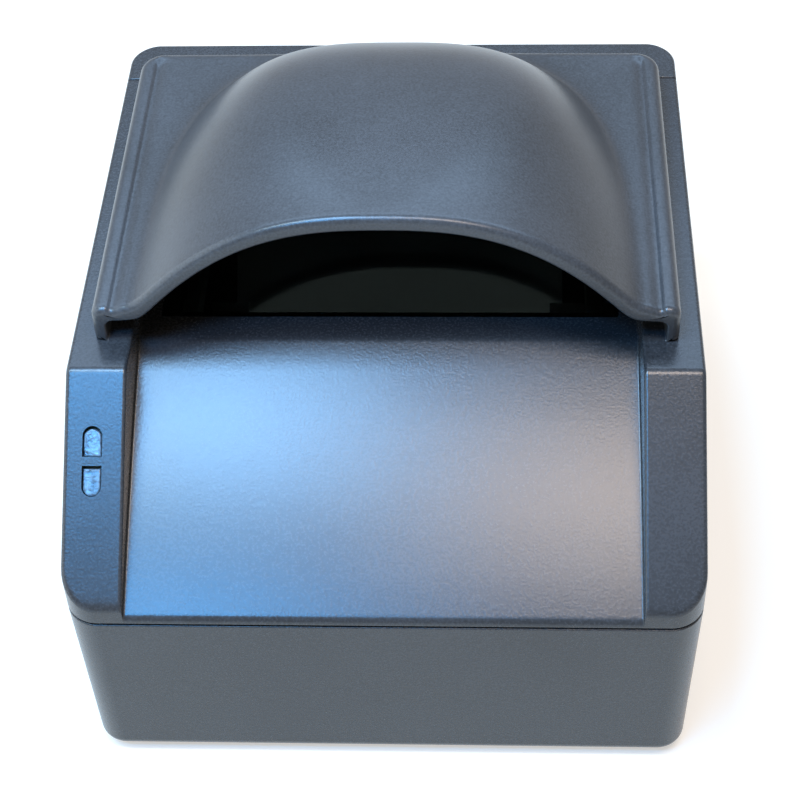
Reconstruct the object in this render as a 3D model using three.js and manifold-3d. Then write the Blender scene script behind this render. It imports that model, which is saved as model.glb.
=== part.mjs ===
// Desktop full-page passport reader, in millimetres.
// X runs to the right, Y to the rear, Z up. The origin is on the table, under the middle of the case.
import * as THREE from 'three';
import { mergeVertices } from 'three/addons/utils/BufferGeometryUtils.js';
import Module from 'manifold-3d';

const wasm = await Module();
wasm.setup();

// Driving dimensions of the case
const bodyWidth = 176.5;
const bodyDepth = 202.5;
const footProud = 2;
const tubHeight = 61.7;
const bandHeight = 6.5;
const armDrop = 40.8;
const kinkSetback = 52.5;
const cornerRadius = 9.7;
const tubDraft = THREE.MathUtils.degToRad(1.5);
const tubEdgeRadius = 4;
const wall = 2.5;
const seamGap = 0.8;
const rearCoverReturn = 18.6;

// Fits shared by every piece
const seat = 0.3;
const cutOver = 5;
const smallStep = 8;
const roundSteps = 16;
const footSteps = 24;
const cornerSteps = 5;
const screwSteps = 12;
const shankSteps = 6;
const leastRadius = 0.5;
const grid = 1 / 1024;

// Channel for the document
const armWidth = 16.95;
const channelRearInset = 26.5;
const channelWall = 2.2;
const glassDepth = 8;
const floorLip = 2.3;
const floorBendSetback = 73;
const floorBendRadius = 5;
const floorBendSteps = 6;

// Hood
const hoodInset = 6.75;
const hoodFrontSetback = 63.5;
const hoodRearInset = 20;
const hoodWall = 3.6;
const hoodSkin = 3.1;
const hoodCornerRadius = 7.5;
const hoodEdgeRadius = 3;
const flangeHeight = 11.7;
const domeRise = 33.25;
const domeSag = 0.36;
const domeInset = 11.9;
const domeRearInset = 2.2;
const domeFillet = 1.6;
const domePlanPower = 3.1;
const domeSidePower = 2.6;
const domeRearPower = 7.5;
const domeSideWall = 2;
const creaseInset = 5.6;
const creaseDepth = 0.9;
const creaseWidth = 0.8;
const creaseRunout = 2.2;
const creaseEndInset = 3;
const hoodColumns = 12;
const hoodRows = 16;
const tabLength = 9;
const tabWall = 1.8;
const tabReach = 5;
const tabFrontInset = 19.75;
const tabRearInset = 19.25;
const hoodLift = 0.3;

// Glass and its frame
const openingSideInset = 5.3;
const openingSetback = 81.7;
const openingRearInset = 2.3;
const glassThick = 3;
const glassSink = 0.2;
const gasketThick = 0.8;
const ledge = 4;
const frameRim = 4;
const frameHeight = 5.8;

// Status lights
const lightWidth = 5.5;
const lightSpan = 19.6;
const lightBridge = 2.5;
const lightOffset = 25.7;
const lightInset = 8;
const lightRecess = 0.5;
const lensThick = 3.2;
const lensFlange = 0.9;
const statusBoardThick = 1.2;
const statusBoardWidth = 8.6;
const statusBoardLength = 34;
const statusLed = 2.4;
const statusLedTall = 1.2;

// Inner chassis and optics
const chassisWall = 2;
const chassisFloorLift = 24;
const chassisFrontSetback = 13.5;
const chassisNoseHeight = 28;
const chassisNoseLength = 50;
const chassisRear = 4;
const boardThick = 1.6;
const mirrorEndGap = 7.6;
const mirrorSideInset = 14;
const mirrorThick = 3;
const carrierThick = 2;
const carrierRib = 3;
const clipWidth = 8;
const clipThick = 1;
const cameraAxisDrop = 1.05;
const cameraTopGap = 1.6;
const cameraSetback = 25;
const bracketThick = 2;
const bracketWidth = 56;
const bracketFoot = 12;
const lensHolderSize = 16;
const lensHolderDepth = 11;
const lensRadius = 7;
const lensLength = 13;
const lensFace = 1.6;
const lensBore = 4.6;

// Lighting boards
const lightBoardEndInset = 4;
const lightBoardHeight = 7.6;
const lightBoardDrop = 0.5;
const ledSize = 3;
const ledTall = 1.4;
const ledCount = 6;
const diffuserThick = 1.5;
const diffuserGap = 5;
const uvBoardHeight = 18;
const uvBoardSideInset = 12;
const antennaWidth = 5;

// Main board and sockets
const mainBoardSideGap = 7.25;
const mainBoardLength = 80;
const mainBoardLift = 10.3;
const mainPostRadius = 3;
const mainHoleInset = 5;
const chipSize = 20;
const chipTall = 1.6;
const smallChip = 11;
const capRadius = 4;
const capTall = 9;
const plugBarWidth = 24;
const plugBarDepth = 5;
const plugBarTall = 4;
const usbWidth = 12;
const usbTall = 10.8;
const usbLength = 16;
const usbShell = 0.9;
const usbDepth = 9;
const usbTongueWidth = 5.4;
const usbTongueTall = 3.2;
const usbInset = 24;
const jackWidth = 9;
const jackTall = 10.8;
const jackLength = 14;
const jackBore = 3.2;
const jackPin = 1;
const jackDepth = 9;
const jackOffset = 4;
const socketSink = 0.6;
const buzzerRadius = 6;
const buzzerTall = 6;
const buzzerHole = 1;

// Feet, bosses and screws
const footRadius = 7;
const footRecess = 1.3;
const footInset = 20;
const caseBossRadius = 4;
const caseBossTop = 20;
const caseBossInset = 8.6;
const caseBossEndInset = 14;
const caseHeadRadius = 3;
const caseHeadTall = 2.2;
const caseShankRadius = 1.3;
const caseShankLength = 24;
const caseCounterbore = 12;
const chassisPostRadius = 4;
const chassisPostInset = 27;
const chassisPostEndInset = 22;
const smallHeadRadius = 2.6;
const smallHeadTall = 1.6;
const smallShankRadius = 1.1;
const smallShankLength = 7;
const crossWidth = 0.8;
const crossDepth = 0.9;
const rearScrewInset = 28.25;
const rearScrewDrop = 7.3;
const rearBossRadius = 3.2;
const rearPadRadius = 4.4;
const rearPadTall = 1.5;

// Vents, tongues and cables
const tongueHeight = 3;
const tongueWall = 1.2;
const ventCount = 7;
const ventWidth = 2.6;
const ventLength = 34;
const ventPitch = 7;
const flexWidth = 12;
const flexThick = 0.5;
const cableRadius = 1.1;
const cableSides = 8;

// Heights and places that follow from the dimensions above
const halfWidth = bodyWidth / 2;
const yFront = -bodyDepth / 2;
const yRear = bodyDepth / 2;
const zBottom = footProud;
const zSeam = zBottom + tubHeight;
const zArmEdge = zSeam + bandHeight;
const zPlate = zArmEdge + armDrop;
const yKink = yFront + kinkSetback;
const armAngle = Math.atan2(armDrop, kinkSetback);
const yRearSeam = yRear - rearCoverReturn;
const channelHalf = halfWidth - armWidth;
const yChannelEnd = yRear - channelRearInset;
const zFloor = zPlate - glassDepth;
const zFloorLip = zSeam + floorLip;
const yFloorBend = yFront + floorBendSetback;
const floorAngle = Math.atan2(zFloor - zFloorLip, floorBendSetback);
const openingWidth = 2 * (channelHalf - openingSideInset);
const yOpening = yFront + openingSetback;
const yOpeningEnd = yChannelEnd - openingRearInset;
const yOpeningMiddle = (yOpening + yOpeningEnd) / 2;
const hoodHalfWidth = halfWidth - hoodInset;
const yHoodFront = yFront + hoodFrontSetback;
const yHoodRear = yRear - hoodRearInset;
const domeHalfWidth = hoodHalfWidth - domeInset;
const domeLength = yHoodRear - yHoodFront - domeRearInset;
const zTubFloor = zBottom + wall;
const zGlassTop = zFloor - glassSink;
const zGlassBottom = zGlassTop - glassThick;
const zGasketBottom = zGlassBottom - seat - gasketThick;
const zLedge = zGasketBottom - seat;
const zFrameTop = zFloor - wall - seat;
const zFrameBottom = zFrameTop - frameHeight;
const zFlangeTop = zFrameBottom - seat;
const zFlangeBottom = zFlangeTop - chassisWall;
const zChassisFloor = chassisFloorLift + chassisWall;
const yChassisFront = yFront + chassisFrontSetback;
const yChassisEnd = yOpeningEnd + frameRim + chassisRear;
const chassisInnerHalf = openingWidth / 2;
const chassisRoom = zFlangeBottom - zChassisFloor;
const cameraAxisLift = zChassisFloor + chassisRoom / 2 - cameraAxisDrop;
const floorDrop = wall / Math.cos(floorAngle);
const zUnderFloor = zFloorLip + cameraSetback * Math.tan(floorAngle) - floorDrop;
const cameraBoardSize = 2 * (zUnderFloor - cameraTopGap - cameraAxisLift);
const mirrorLength = (chassisRoom - 2 * mirrorEndGap) * Math.SQRT2;
const mirrorWidth = 2 * (chassisInnerHalf - mirrorSideInset);
const lightBoardLift = zFlangeBottom - lightBoardDrop - lightBoardHeight;
const lightBoardLength = yOpeningEnd - yOpening - 2 * lightBoardEndInset;
const uvBoardWidth = 2 * (chassisInnerHalf - uvBoardSideInset);
const chassisPostX = halfWidth - chassisPostInset;
const mainBoardWidth = 2 * (chassisPostX - chassisPostRadius - mainBoardSideGap);
const usbOffset = mainBoardWidth / 2 - usbInset;
const rearScrewX = halfWidth - rearScrewInset;

// Materials
const plastic = (color, roughness) => new THREE.MeshStandardMaterial({ color, roughness, metalness: 0 });
const metal = (color, roughness) => new THREE.MeshStandardMaterial({ color, roughness, metalness: 1 });
const caseAbs = plastic('#2b2f36', 0.5);
const hoodAbs = plastic('#2f3238', 0.5);
const innerAbs = plastic('#17181a', 0.7);
const rubber = plastic('#151515', 0.9);
const clear = { transparent: true, opacity: 0.4 };
const glass = new THREE.MeshStandardMaterial({ color: '#2a3a3a', roughness: 0.05, ...clear });
const mirror = metal('#d8dce0', 0.03);
const clearPlastic = plastic('#c9d6dc', 0.2);
const diffuserPlastic = plastic('#eef0ee', 0.5);
const circuitBoard = plastic('#1f5a34', 0.5);
const lensBlack = plastic('#101114', 0.4);
const steel = metal('#9a9da2', 0.35);
const socketSteel = metal('#b4b7bb', 0.3);
const flexFilm = plastic('#b9772e', 0.45);
const cableSleeve = plastic('#1c1c1e', 0.6);

// Solid helpers; corners are put on a fine grid, so that faces meant to be level are level
function solid(geometry) {
  const bare = geometry.clone();
  for (const name of Object.keys(bare.attributes)) {
    if (name !== 'position') bare.deleteAttribute(name);
  }
  const merged = mergeVertices(bare);
  const vertProperties = merged.attributes.position.array.map((v) => Math.round(v / grid) * grid);
  const triVerts = new Uint32Array(merged.index.array);
  return new wasm.Manifold(new wasm.Mesh({ numProp: 3, vertProperties, triVerts }));
}

function geometryOf(shape) {
  const mesh = shape.getMesh();
  const geometry = new THREE.BufferGeometry();
  geometry.setAttribute('position', new THREE.BufferAttribute(new Float32Array(mesh.vertProperties), 3));
  geometry.setIndex(new THREE.BufferAttribute(new Uint32Array(mesh.triVerts), 1));
  const flat = geometry.toNonIndexed();
  flat.computeVertexNormals();
  return flat;
}

// A box between two corners
function block([x0, x1], [y0, y1], [z0, z1]) {
  const geometry = new THREE.BoxGeometry(x1 - x0, y1 - y0, z1 - z0);
  geometry.translate((x0 + x1) / 2, (y0 + y1) / 2, (z0 + z1) / 2);
  return solid(geometry);
}

// An upright cylinder
function post(x, y, [z0, z1], radius, steps = roundSteps) {
  const geometry = new THREE.CylinderGeometry(radius, radius, z1 - z0, steps);
  geometry.rotateX(Math.PI / 2);
  geometry.translate(x, y, (z0 + z1) / 2);
  return solid(geometry);
}

// A cylinder lying along Y
function barrel(x, [y0, y1], z, radius, steps = roundSteps) {
  const geometry = new THREE.CylinderGeometry(radius, radius, y1 - y0, steps);
  geometry.translate(x, (y0 + y1) / 2, z);
  return solid(geometry);
}

// An outline in Y and Z pushed out along X
function slab(points, [x0, x1]) {
  const shape = new THREE.Shape(points.map(([y, z]) => new THREE.Vector2(y, z)));
  const geometry = new THREE.ExtrudeGeometry(shape, { depth: x1 - x0, bevelEnabled: false });
  const turn = new THREE.Matrix4().set(0, 0, 1, x0, 1, 0, 0, 0, 0, 1, 0, 0, 0, 0, 0, 1);
  geometry.applyMatrix4(turn);
  return solid(geometry);
}

// An outline in X and Y pushed up along Z
function prism(points, [z0, z1]) {
  const shape = new THREE.Shape(points);
  const geometry = new THREE.ExtrudeGeometry(shape, { depth: z1 - z0, bevelEnabled: false });
  geometry.translate(0, 0, z0);
  return solid(geometry);
}

// A rounded rectangle, drawn in from the case outline by an inset
function plan(inset = 0, steps = cornerSteps) {
  const radius = Math.max(cornerRadius - inset, leastRadius);
  const x = halfWidth - inset - radius;
  const y = yRear - inset - radius;
  const corners = [[x, -y, -1], [x, y, 0], [-x, y, 1], [-x, -y, 2]];
  return corners.flatMap(([cx, cy, quarter]) => Array.from({ length: steps + 1 }, (_, i) => {
    const turn = (quarter + i / steps) * Math.PI / 2;
    return new THREE.Vector2(cx + radius * Math.cos(turn), cy + radius * Math.sin(turn));
  }));
}

// A closed skin over rings of equal length, capped at both ends
function loft(rings) {
  const count = rings[0].length;
  const position = rings.flat().flatMap((p) => [p.x, p.y, p.z]);
  const index = [];
  for (let r = 0; r + 1 < rings.length; r += 1) {
    for (let i = 0; i < count; i += 1) {
      const a = r * count + i;
      const b = r * count + (i + 1) % count;
      index.push(a, b, b + count, a, b + count, a + count);
    }
  }
  const last = (rings.length - 1) * count;
  for (let i = 1; i + 1 < count; i += 1) {
    index.push(0, i + 1, i);
    index.push(last, last + i, last + i + 1);
  }
  const geometry = new THREE.BufferGeometry();
  geometry.setAttribute('position', new THREE.Float32BufferAttribute(position, 3));
  geometry.setIndex(index);
  return solid(geometry);
}

const ringAt = (inset, z) => plan(inset).map((p) => new THREE.Vector3(p.x, p.y, z));
const both = (make) => make(-1).add(make(1));
const span = (middle, length) => [middle - length / 2, middle + length / 2];
const sided = (side, near, far) => (side > 0 ? [near, far] : [-far, -near]);

// Outline of the case above the seam, drawn in by an inset
function topOutline(inset) {
  const slopeShift = inset * Math.tan(armAngle / 2);
  const edgeShift = inset * Math.tan((Math.PI / 2 - armAngle) / 2);
  return [
    [yFront + inset, zSeam + seamGap / 2],
    [yFront + inset, zArmEdge - edgeShift],
    [yKink + slopeShift, zPlate - inset],
    [yRear - inset, zPlate - inset],
    [yRear - inset, zSeam + seamGap / 2],
  ];
}

// Height line of the channel floor, lowered by a drop measured square to it
function floorLine(drop, yStart, yEnd) {
  const tangent = floorBendRadius * Math.tan(floorAngle / 2);
  const radius = floorBendRadius - drop;
  const yCentre = yFloorBend + tangent;
  const zCentre = zFloor - floorBendRadius;
  const slope = Math.tan(floorAngle);
  const points = [];
  for (let i = 0; i <= floorBendSteps; i += 1) {
    const turn = floorAngle * (1 - i / floorBendSteps);
    points.push([yCentre - radius * Math.sin(turn), zCentre + radius * Math.cos(turn)]);
  }
  const [y0, z0] = points[0];
  return [[yStart, z0 + (yStart - y0) * slope], ...points, [yEnd, zFloor - drop]];
}

// Everything above the channel floor, between two side planes
function channelSpace(half, drop, yStart, yEnd) {
  const line = floorLine(drop, yStart, yEnd);
  const zTop = zPlate + cutOver;
  return slab([...line, [yEnd, zTop], [yStart, zTop]], [-half, half]);
}

// Moves a solid into the frame of the sloping arm face: x across, y up the slope, z out of it
function onArm(shape) {
  const matrix = new THREE.Matrix4().makeRotationX(armAngle).setPosition(0, yKink, zPlate);
  return shape.transform(matrix.elements);
}

// Case
function lightOutline(clearance, half) {
  const x = -halfWidth + lightInset;
  const radius = lightWidth / 2 - clearance;
  const far = lightSpan / 2 - lightWidth / 2;
  const near = lightBridge / 2 + clearance;
  const points = [];
  for (let i = 0; i <= smallStep; i += 1) {
    const turn = Math.PI * i / smallStep;
    const y = -lightOffset + half * (far + radius * Math.sin(turn));
    points.push(new THREE.Vector2(x + radius * Math.cos(turn), y));
  }
  points.push(new THREE.Vector2(x - radius, -lightOffset + half * near));
  points.push(new THREE.Vector2(x + radius, -lightOffset + half * near));
  return half > 0 ? points : points.reverse();
}

const caseBossX = halfWidth - caseBossInset;
const caseBossYs = [yFront + caseBossEndInset, yRearSeam - caseBossInset];
const armHeight = (y) => zPlate - Math.max(0, yKink - y) * Math.tan(armAngle);
const zRearScrew = zPlate - rearScrewDrop;
const yRearHead = yRear - smallHeadTall - 2 * seat;
const tabYs = [yHoodFront + tabFrontInset, yHoodRear - tabRearInset];
const tabX = hoodHalfWidth - hoodWall / 2;

function upperShell() {
  const outerPlan = prism(plan(), [zSeam, zPlate + cutOver]);
  const outer = slab(topOutline(0), [-halfWidth, halfWidth]).intersect(outerPlan);
  const innerOutline = topOutline(wall);
  innerOutline[0][1] -= cutOver;
  innerOutline[4][1] -= cutOver;
  const innerPlan = prism(plan(wall), [zSeam - cutOver, zPlate]);
  const inner = slab(innerOutline, [-halfWidth, halfWidth]).intersect(innerPlan);
  const trough = channelSpace(channelHalf + channelWall, wall, yFront, yChannelEnd + wall);
  const channel = channelSpace(channelHalf, 0, yFront - cutOver, yChannelEnd);
  return outer.subtract(inner.subtract(trough)).subtract(channel);
}

const shell = upperShell();
const shellZone = (ys) => block([-bodyWidth, bodyWidth], ys, [0, zPlate + cutOver]);
const frontHalf = shellZone([yFront - cutOver, yRearSeam - seamGap / 2]);
const rearHalf = shellZone([yRearSeam, yRear + cutOver]);

function topCover() {
  const opening = block(span(0, openingWidth), [yOpening, yOpeningEnd], [zFloor - wall - cutOver, zPlate]);
  let cover = shell.intersect(frontHalf).subtract(opening);
  for (const side of [-1, 1]) {
    for (const y of caseBossYs) {
      const top = armHeight(y - caseBossRadius) - wall / 2;
      cover = cover.add(post(side * caseBossX, y, [caseBossTop + seat, top], caseBossRadius));
      const pilot = [caseBossTop - cutOver, caseBossTop + caseShankLength];
      cover = cover.subtract(post(side * caseBossX, y, pilot, caseShankRadius + seat));
    }
    for (const y of tabYs) {
      const xs = span(side * tabX, tabWall + 2 * seat);
      const zs = [zPlate - wall - cutOver, zPlate + cutOver];
      cover = cover.subtract(block(xs, span(y, tabLength + 2 * seat), zs));
    }
    const rearFace = yRear - wall - rearPadTall - seat;
    const bossX = side * rearScrewX;
    cover = cover.add(barrel(bossX, [yChannelEnd + wall / 2, rearFace], zRearScrew, rearBossRadius));
    const pilot = [rearFace - smallShankLength - seat, rearFace + cutOver];
    cover = cover.subtract(barrel(bossX, pilot, zRearScrew, smallShankRadius + seat));
  }
  for (const half of [-1, 1]) {
    cover = cover.subtract(onArm(prism(lightOutline(0, half), [-wall - cutOver, cutOver])));
  }
  return cover.add(statusBoss()).subtract(statusBossHole());
}

const xStatus = -halfWidth + lightInset;
const statusLensBottom = -lightRecess - lensThick;
const statusBoardTop = statusLensBottom - statusLedTall - seat;
const statusBoardBottom = statusBoardTop - statusBoardThick;
const statusScrewY = -lightOffset - lightSpan / 2 - lensFlange - smallHeadRadius - 2 * seat;

function statusBoss() {
  return onArm(post(xStatus, statusScrewY, [statusBoardTop + seat, -wall / 2], smallHeadRadius));
}

function statusBossHole() {
  return onArm(post(xStatus, statusScrewY, [statusBoardTop - cutOver, -wall], smallShankRadius + seat));
}

function rearCover() {
  let cover = shell.intersect(rearHalf);
  const inset = wall + seat;
  const reach = [yRearSeam - seamGap / 2 - tongueHeight, yRearSeam + tongueHeight];
  const sleeve = (from, to, [y0, y1]) => {
    const zone = block([-bodyWidth, bodyWidth], [y0, y1], [zSeam + tongueHeight + seat, zPlate]);
    const outsidePlan = prism(plan(from), [0, zPlate]);
    const outside = slab(topOutline(from), [-halfWidth, halfWidth]).intersect(outsidePlan);
    const insideOutline = topOutline(to);
    insideOutline[0][1] -= cutOver;
    insideOutline[4][1] -= cutOver;
    const insidePlan = prism(plan(to), [0, zPlate]);
    const inside = slab(insideOutline, [-halfWidth, halfWidth]).intersect(insidePlan);
    return outside.subtract(inside).intersect(zone);
  };
  cover = cover.add(sleeve(inset, inset + tongueWall, reach));
  cover = cover.add(sleeve(wall / 2, inset + tongueWall, [yRearSeam + seat, reach[1]]));
  for (const side of [-1, 1]) {
    const x = side * rearScrewX;
    const through = [yRear - wall - cutOver, yRear + cutOver];
    cover = cover.add(barrel(x, [yRear - wall - rearPadTall, yRear - wall / 2], zRearScrew, rearPadRadius));
    cover = cover.subtract(barrel(x, through, zRearScrew, smallShankRadius + seat));
    cover = cover.subtract(barrel(x, [yRearHead, yRear + cutOver], zRearScrew, smallHeadRadius + seat));
  }
  return cover;
}

// The lower housing tapers down to a rounded edge
function tubSkin(inset, zTop, zLow) {
  const rings = [];
  const draftAt = (z) => (zSeam - z) * Math.tan(tubDraft);
  const radius = Math.max(tubEdgeRadius - inset, leastRadius);
  for (let i = 0; i <= cornerSteps; i += 1) {
    const turn = Math.PI / 2 * i / cornerSteps;
    const z = zLow + radius * (1 - Math.cos(turn));
    rings.push(ringAt(inset + draftAt(z) + radius * (1 - Math.sin(turn)), z));
  }
  rings.push(ringAt(inset + draftAt(zTop), zTop));
  return loft(rings);
}

const wallInset = (z) => (zSeam - z) * Math.tan(tubDraft);
const footX = halfWidth - footInset;
const footY = yRear - footInset;
const footPlaces = [[-footX, -footY], [-footX, footY], [footX, -footY], [footX, footY]];
const mainBoardEnd = yRear - wallInset(mainBoardLift) - wall - 2 * seat;
const mainBoardStart = mainBoardEnd - mainBoardLength;
const mainPostX = mainBoardWidth / 2 - mainHoleInset;
const mainPostYs = [mainBoardStart + mainHoleInset, mainBoardEnd - mainHoleInset];
const mainPostPlaces = [-mainPostX, mainPostX].flatMap((x) => mainPostYs.map((y) => [x, y]));
const chassisPostYs = [yFront + chassisPostEndInset, yChassisEnd - chassisPostRadius - seat];
const zSocket = mainBoardLift + boardThick + seat;
const ySocketFace = yRear - wallInset(zSocket) - socketSink;

function lowerHousing() {
  const zTop = zSeam - seamGap / 2;
  let tub = tubSkin(0, zTop, zBottom).subtract(tubSkin(wall, zTop + cutOver, zTubFloor));
  const tongueInset = wall - tongueWall / 2;
  const tongueOut = loft([ringAt(wall + seat, zTop), ringAt(wall + seat, zSeam + tongueHeight)]);
  const tongueRoot = loft([ringAt(tongueInset, zTop - tongueHeight), ringAt(wall + seat, zTop)]);
  const tongueIn = wall + seat + tongueWall;
  const hollow = loft([ringAt(tongueIn, zTop - tongueHeight - cutOver), ringAt(tongueIn, zSeam + cutOver)]);
  const troughHalf = channelHalf + channelWall + seat;
  const underFloor = channelSpace(troughHalf, wall + seat, yFront, yChannelEnd + wall + seat);
  tub = tub.add(tongueOut.add(tongueRoot).subtract(hollow).subtract(underFloor));
  for (const x of [-1, 1]) {
    for (const y of caseBossYs) {
      tub = tub.add(post(x * caseBossX, y, [zBottom + wall / 2, caseBossTop], caseBossRadius + tongueWall));
      tub = tub.subtract(post(x * caseBossX, y, [0, caseCounterbore], caseHeadRadius + seat));
      tub = tub.subtract(post(x * caseBossX, y, [0, caseBossTop + cutOver], caseShankRadius + seat));
    }
    for (const y of chassisPostYs) {
      const stand = [zBottom + wall / 2, chassisFloorLift - seat];
      tub = tub.add(post(x * chassisPostX, y, stand, chassisPostRadius));
      const pilot = [chassisFloorLift - smallShankLength - 2 * seat, chassisFloorLift + cutOver];
      tub = tub.subtract(post(x * chassisPostX, y, pilot, smallShankRadius + seat));
    }
  }
  for (const [x, y] of mainPostPlaces) {
    tub = tub.add(post(x, y, [zBottom + wall / 2, mainBoardLift - seat], mainPostRadius));
    const pilot = [mainBoardLift - smallShankLength, mainBoardLift + cutOver];
    tub = tub.subtract(post(x, y, pilot, smallShankRadius + seat));
  }
  for (const [x, y] of footPlaces) {
    tub = tub.subtract(post(x, y, [0, zBottom + footRecess], footRadius + seat));
  }
  for (let i = 0; i < ventCount; i += 1) {
    const x = (i - (ventCount - 1) / 2) * ventPitch;
    const y = yFront + bodyDepth / 2 - ventLength;
    tub = tub.subtract(block(span(x, ventWidth), span(y, ventLength), [0, zTubFloor + cutOver / 2]));
  }
  const usbHole = [span(usbOffset, usbWidth + 2 * seat), [zSocket - seat, zSocket + usbTall + seat]];
  const jackHole = [span(-jackOffset, jackWidth + 2 * seat), [zSocket - seat, zSocket + jackTall + seat]];
  for (const [xs, zs] of [usbHole, jackHole]) {
    tub = tub.subtract(block(xs, [yRear - wall - tubEdgeRadius, yRear + cutOver], zs));
  }
  return tub;
}

// Hood
function hoodEdge(x, y) {
  const corner = hoodHalfWidth - hoodCornerRadius;
  const back = yHoodRear - hoodCornerRadius;
  if (Math.abs(x) > corner && y > back) {
    return hoodCornerRadius - Math.hypot(Math.abs(x) - corner, y - back);
  }
  return Math.min(hoodHalfWidth - Math.abs(x), yHoodRear - y);
}

function domeHeight(x, y, inset = 0) {
  const along = Math.max(0, y - yHoodFront) / (domeLength - inset);
  const rear = along ** domePlanPower;
  const side = (Math.abs(x) / (domeHalfWidth - inset)) ** domePlanPower;
  const sum = Math.max(side + rear, Number.EPSILON);
  const power = domeSidePower + (domeRearPower - domeSidePower) * rear / sum;
  const crown = domeRise * (1 - domeSag * along ** 2);
  const rise = crown * (1 - sum ** (power / domePlanPower));
  return flangeHeight + (rise + Math.hypot(rise, 2 * domeFillet)) / 2;
}

function creaseAt(x, y) {
  const inside = hoodHalfWidth - Math.abs(x) - creaseInset;
  const width = inside > 0 ? creaseRunout : creaseWidth;
  const fade = THREE.MathUtils.clamp((yHoodRear - creaseEndInset - y) / creaseEndInset, 0, 1);
  return creaseDepth * fade * Math.exp(-((inside / width) ** 2));
}

function hoodTop(x, y) {
  const edge = Math.max(0, hoodEdge(x, y));
  const inward = hoodEdgeRadius - Math.min(hoodEdgeRadius, edge);
  const roundOff = hoodEdgeRadius - Math.sqrt(hoodEdgeRadius ** 2 - inward ** 2);
  return zPlate + domeHeight(x, y) - roundOff - creaseAt(x, y);
}

const hoodUnderside = (x, y) => zPlate + domeHeight(x, y, domeSideWall) - hoodSkin;

// A closed block whose top follows a height function over a plan with two rounded rear corners
function heightBlock({ half, yStart, yEnd, corner, height, base, edgeSteps }) {
  const rows = [];
  const straight = yEnd - corner;
  for (let i = 0; i <= hoodRows; i += 1) rows.push(yStart + (straight - yStart) * i / hoodRows);
  for (let i = 1; i <= cornerSteps; i += 1) {
    rows.push(straight + corner * Math.sin(Math.PI / 2 * i / cornerSteps));
  }
  const columns = [];
  const inset = edgeSteps[edgeSteps.length - 1];
  for (const step of edgeSteps.slice(0, -1)) columns.push([0, step]);
  for (let i = 0; i <= hoodColumns; i += 1) columns.push([1 - i / hoodColumns, inset]);
  const line = [...columns, ...columns.slice(0, -1).reverse().map(([share, step]) => [share, -step])];
  const across = (y, [share, step], k) => {
    const behind = Math.max(0, y - straight);
    const reach = half - corner + Math.sqrt(Math.max(0, corner * corner - behind * behind));
    const side = k < columns.length ? -1 : 1;
    const size = Math.abs(step);
    return side * (share > 0 || size === inset ? (reach - inset) * share : reach - size);
  };
  const count = line.length;
  const position = [];
  for (const level of [height, () => base]) {
    for (const y of rows) {
      line.forEach((place, k) => {
        const x = across(y, place, k);
        position.push(x, y, level(x, y));
      });
    }
  }
  const index = [];
  const layer = rows.length * count;
  const quad = (a, b, c, d) => index.push(a, b, c, a, c, d);
  for (let r = 0; r + 1 < rows.length; r += 1) {
    for (let k = 0; k + 1 < count; k += 1) {
      const a = r * count + k;
      quad(a, a + 1, a + 1 + count, a + count);
      quad(a + layer, a + count + layer, a + 1 + count + layer, a + 1 + layer);
    }
    const left = r * count;
    const right = r * count + count - 1;
    quad(left, left + count, left + count + layer, left + layer);
    quad(right, right + layer, right + count + layer, right + count);
  }
  const back = (rows.length - 1) * count;
  for (let k = 0; k + 1 < count; k += 1) {
    quad(k, k + layer, k + 1 + layer, k + 1);
    quad(back + k, back + k + 1, back + k + 1 + layer, back + k + layer);
  }
  const geometry = new THREE.BufferGeometry();
  geometry.setAttribute('position', new THREE.Float32BufferAttribute(position, 3));
  geometry.setIndex(index);
  return solid(geometry);
}

function hood() {
  const roundShares = [0, 0.13, 0.45, 1];
  const edgeSteps = roundShares.map((share) => share * hoodEdgeRadius);
  edgeSteps.push(creaseInset - creaseWidth, creaseInset, creaseInset + creaseRunout);
  const outer = heightBlock({
    half: hoodHalfWidth,
    yStart: yHoodFront,
    yEnd: yHoodRear,
    corner: hoodCornerRadius,
    height: hoodTop,
    base: zPlate + hoodLift,
    edgeSteps,
  });
  const inner = heightBlock({
    half: hoodHalfWidth - hoodWall,
    yStart: yHoodFront - cutOver,
    yEnd: yHoodRear - hoodWall,
    corner: hoodCornerRadius - hoodWall,
    height: hoodUnderside,
    base: zPlate - cutOver,
    edgeSteps: [0, creaseRunout],
  });
  let cover = outer.subtract(inner);
  for (const side of [-1, 1]) {
    for (const y of tabYs) {
      const zs = [zPlate - tabReach, zPlate + hoodLift + hoodWall / 2];
      cover = cover.add(block(span(side * tabX, tabWall), span(y, tabLength), zs));
    }
  }
  return cover;
}

// Glass, gasket, frame and antenna
function ringPlate(halfOut, [y0, y1], halfIn, [y2, y3], zs) {
  const outside = block([-halfOut, halfOut], [y0, y1], zs);
  return outside.subtract(block([-halfIn, halfIn], [y2, y3], [zs[0] - cutOver, zs[1] + cutOver]));
}

const glassHalf = openingWidth / 2 - seat;
const glassYs = [yOpening + seat, yOpeningEnd - seat];
const ledgeHalf = openingWidth / 2 - ledge;
const ledgeYs = [yOpening + ledge, yOpeningEnd - ledge];
const frameHalf = openingWidth / 2 + frameRim;
const frameYs = [yOpening - frameRim, yOpeningEnd + frameRim];

const documentGlass = () => block([-glassHalf, glassHalf], glassYs, [zGlassBottom, zGlassTop]);
const gasketZs = [zGasketBottom, zGasketBottom + gasketThick];
const glassGasket = () => ringPlate(glassHalf, glassYs, ledgeHalf, ledgeYs, gasketZs);

function glassFrame() {
  const ring = ringPlate(frameHalf, frameYs, ledgeHalf, ledgeYs, [zFrameBottom, zFrameTop]);
  const pocketZs = [zLedge, zFrameTop + cutOver];
  return ring.subtract(block(span(0, openingWidth), [yOpening, yOpeningEnd], pocketZs));
}

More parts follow.
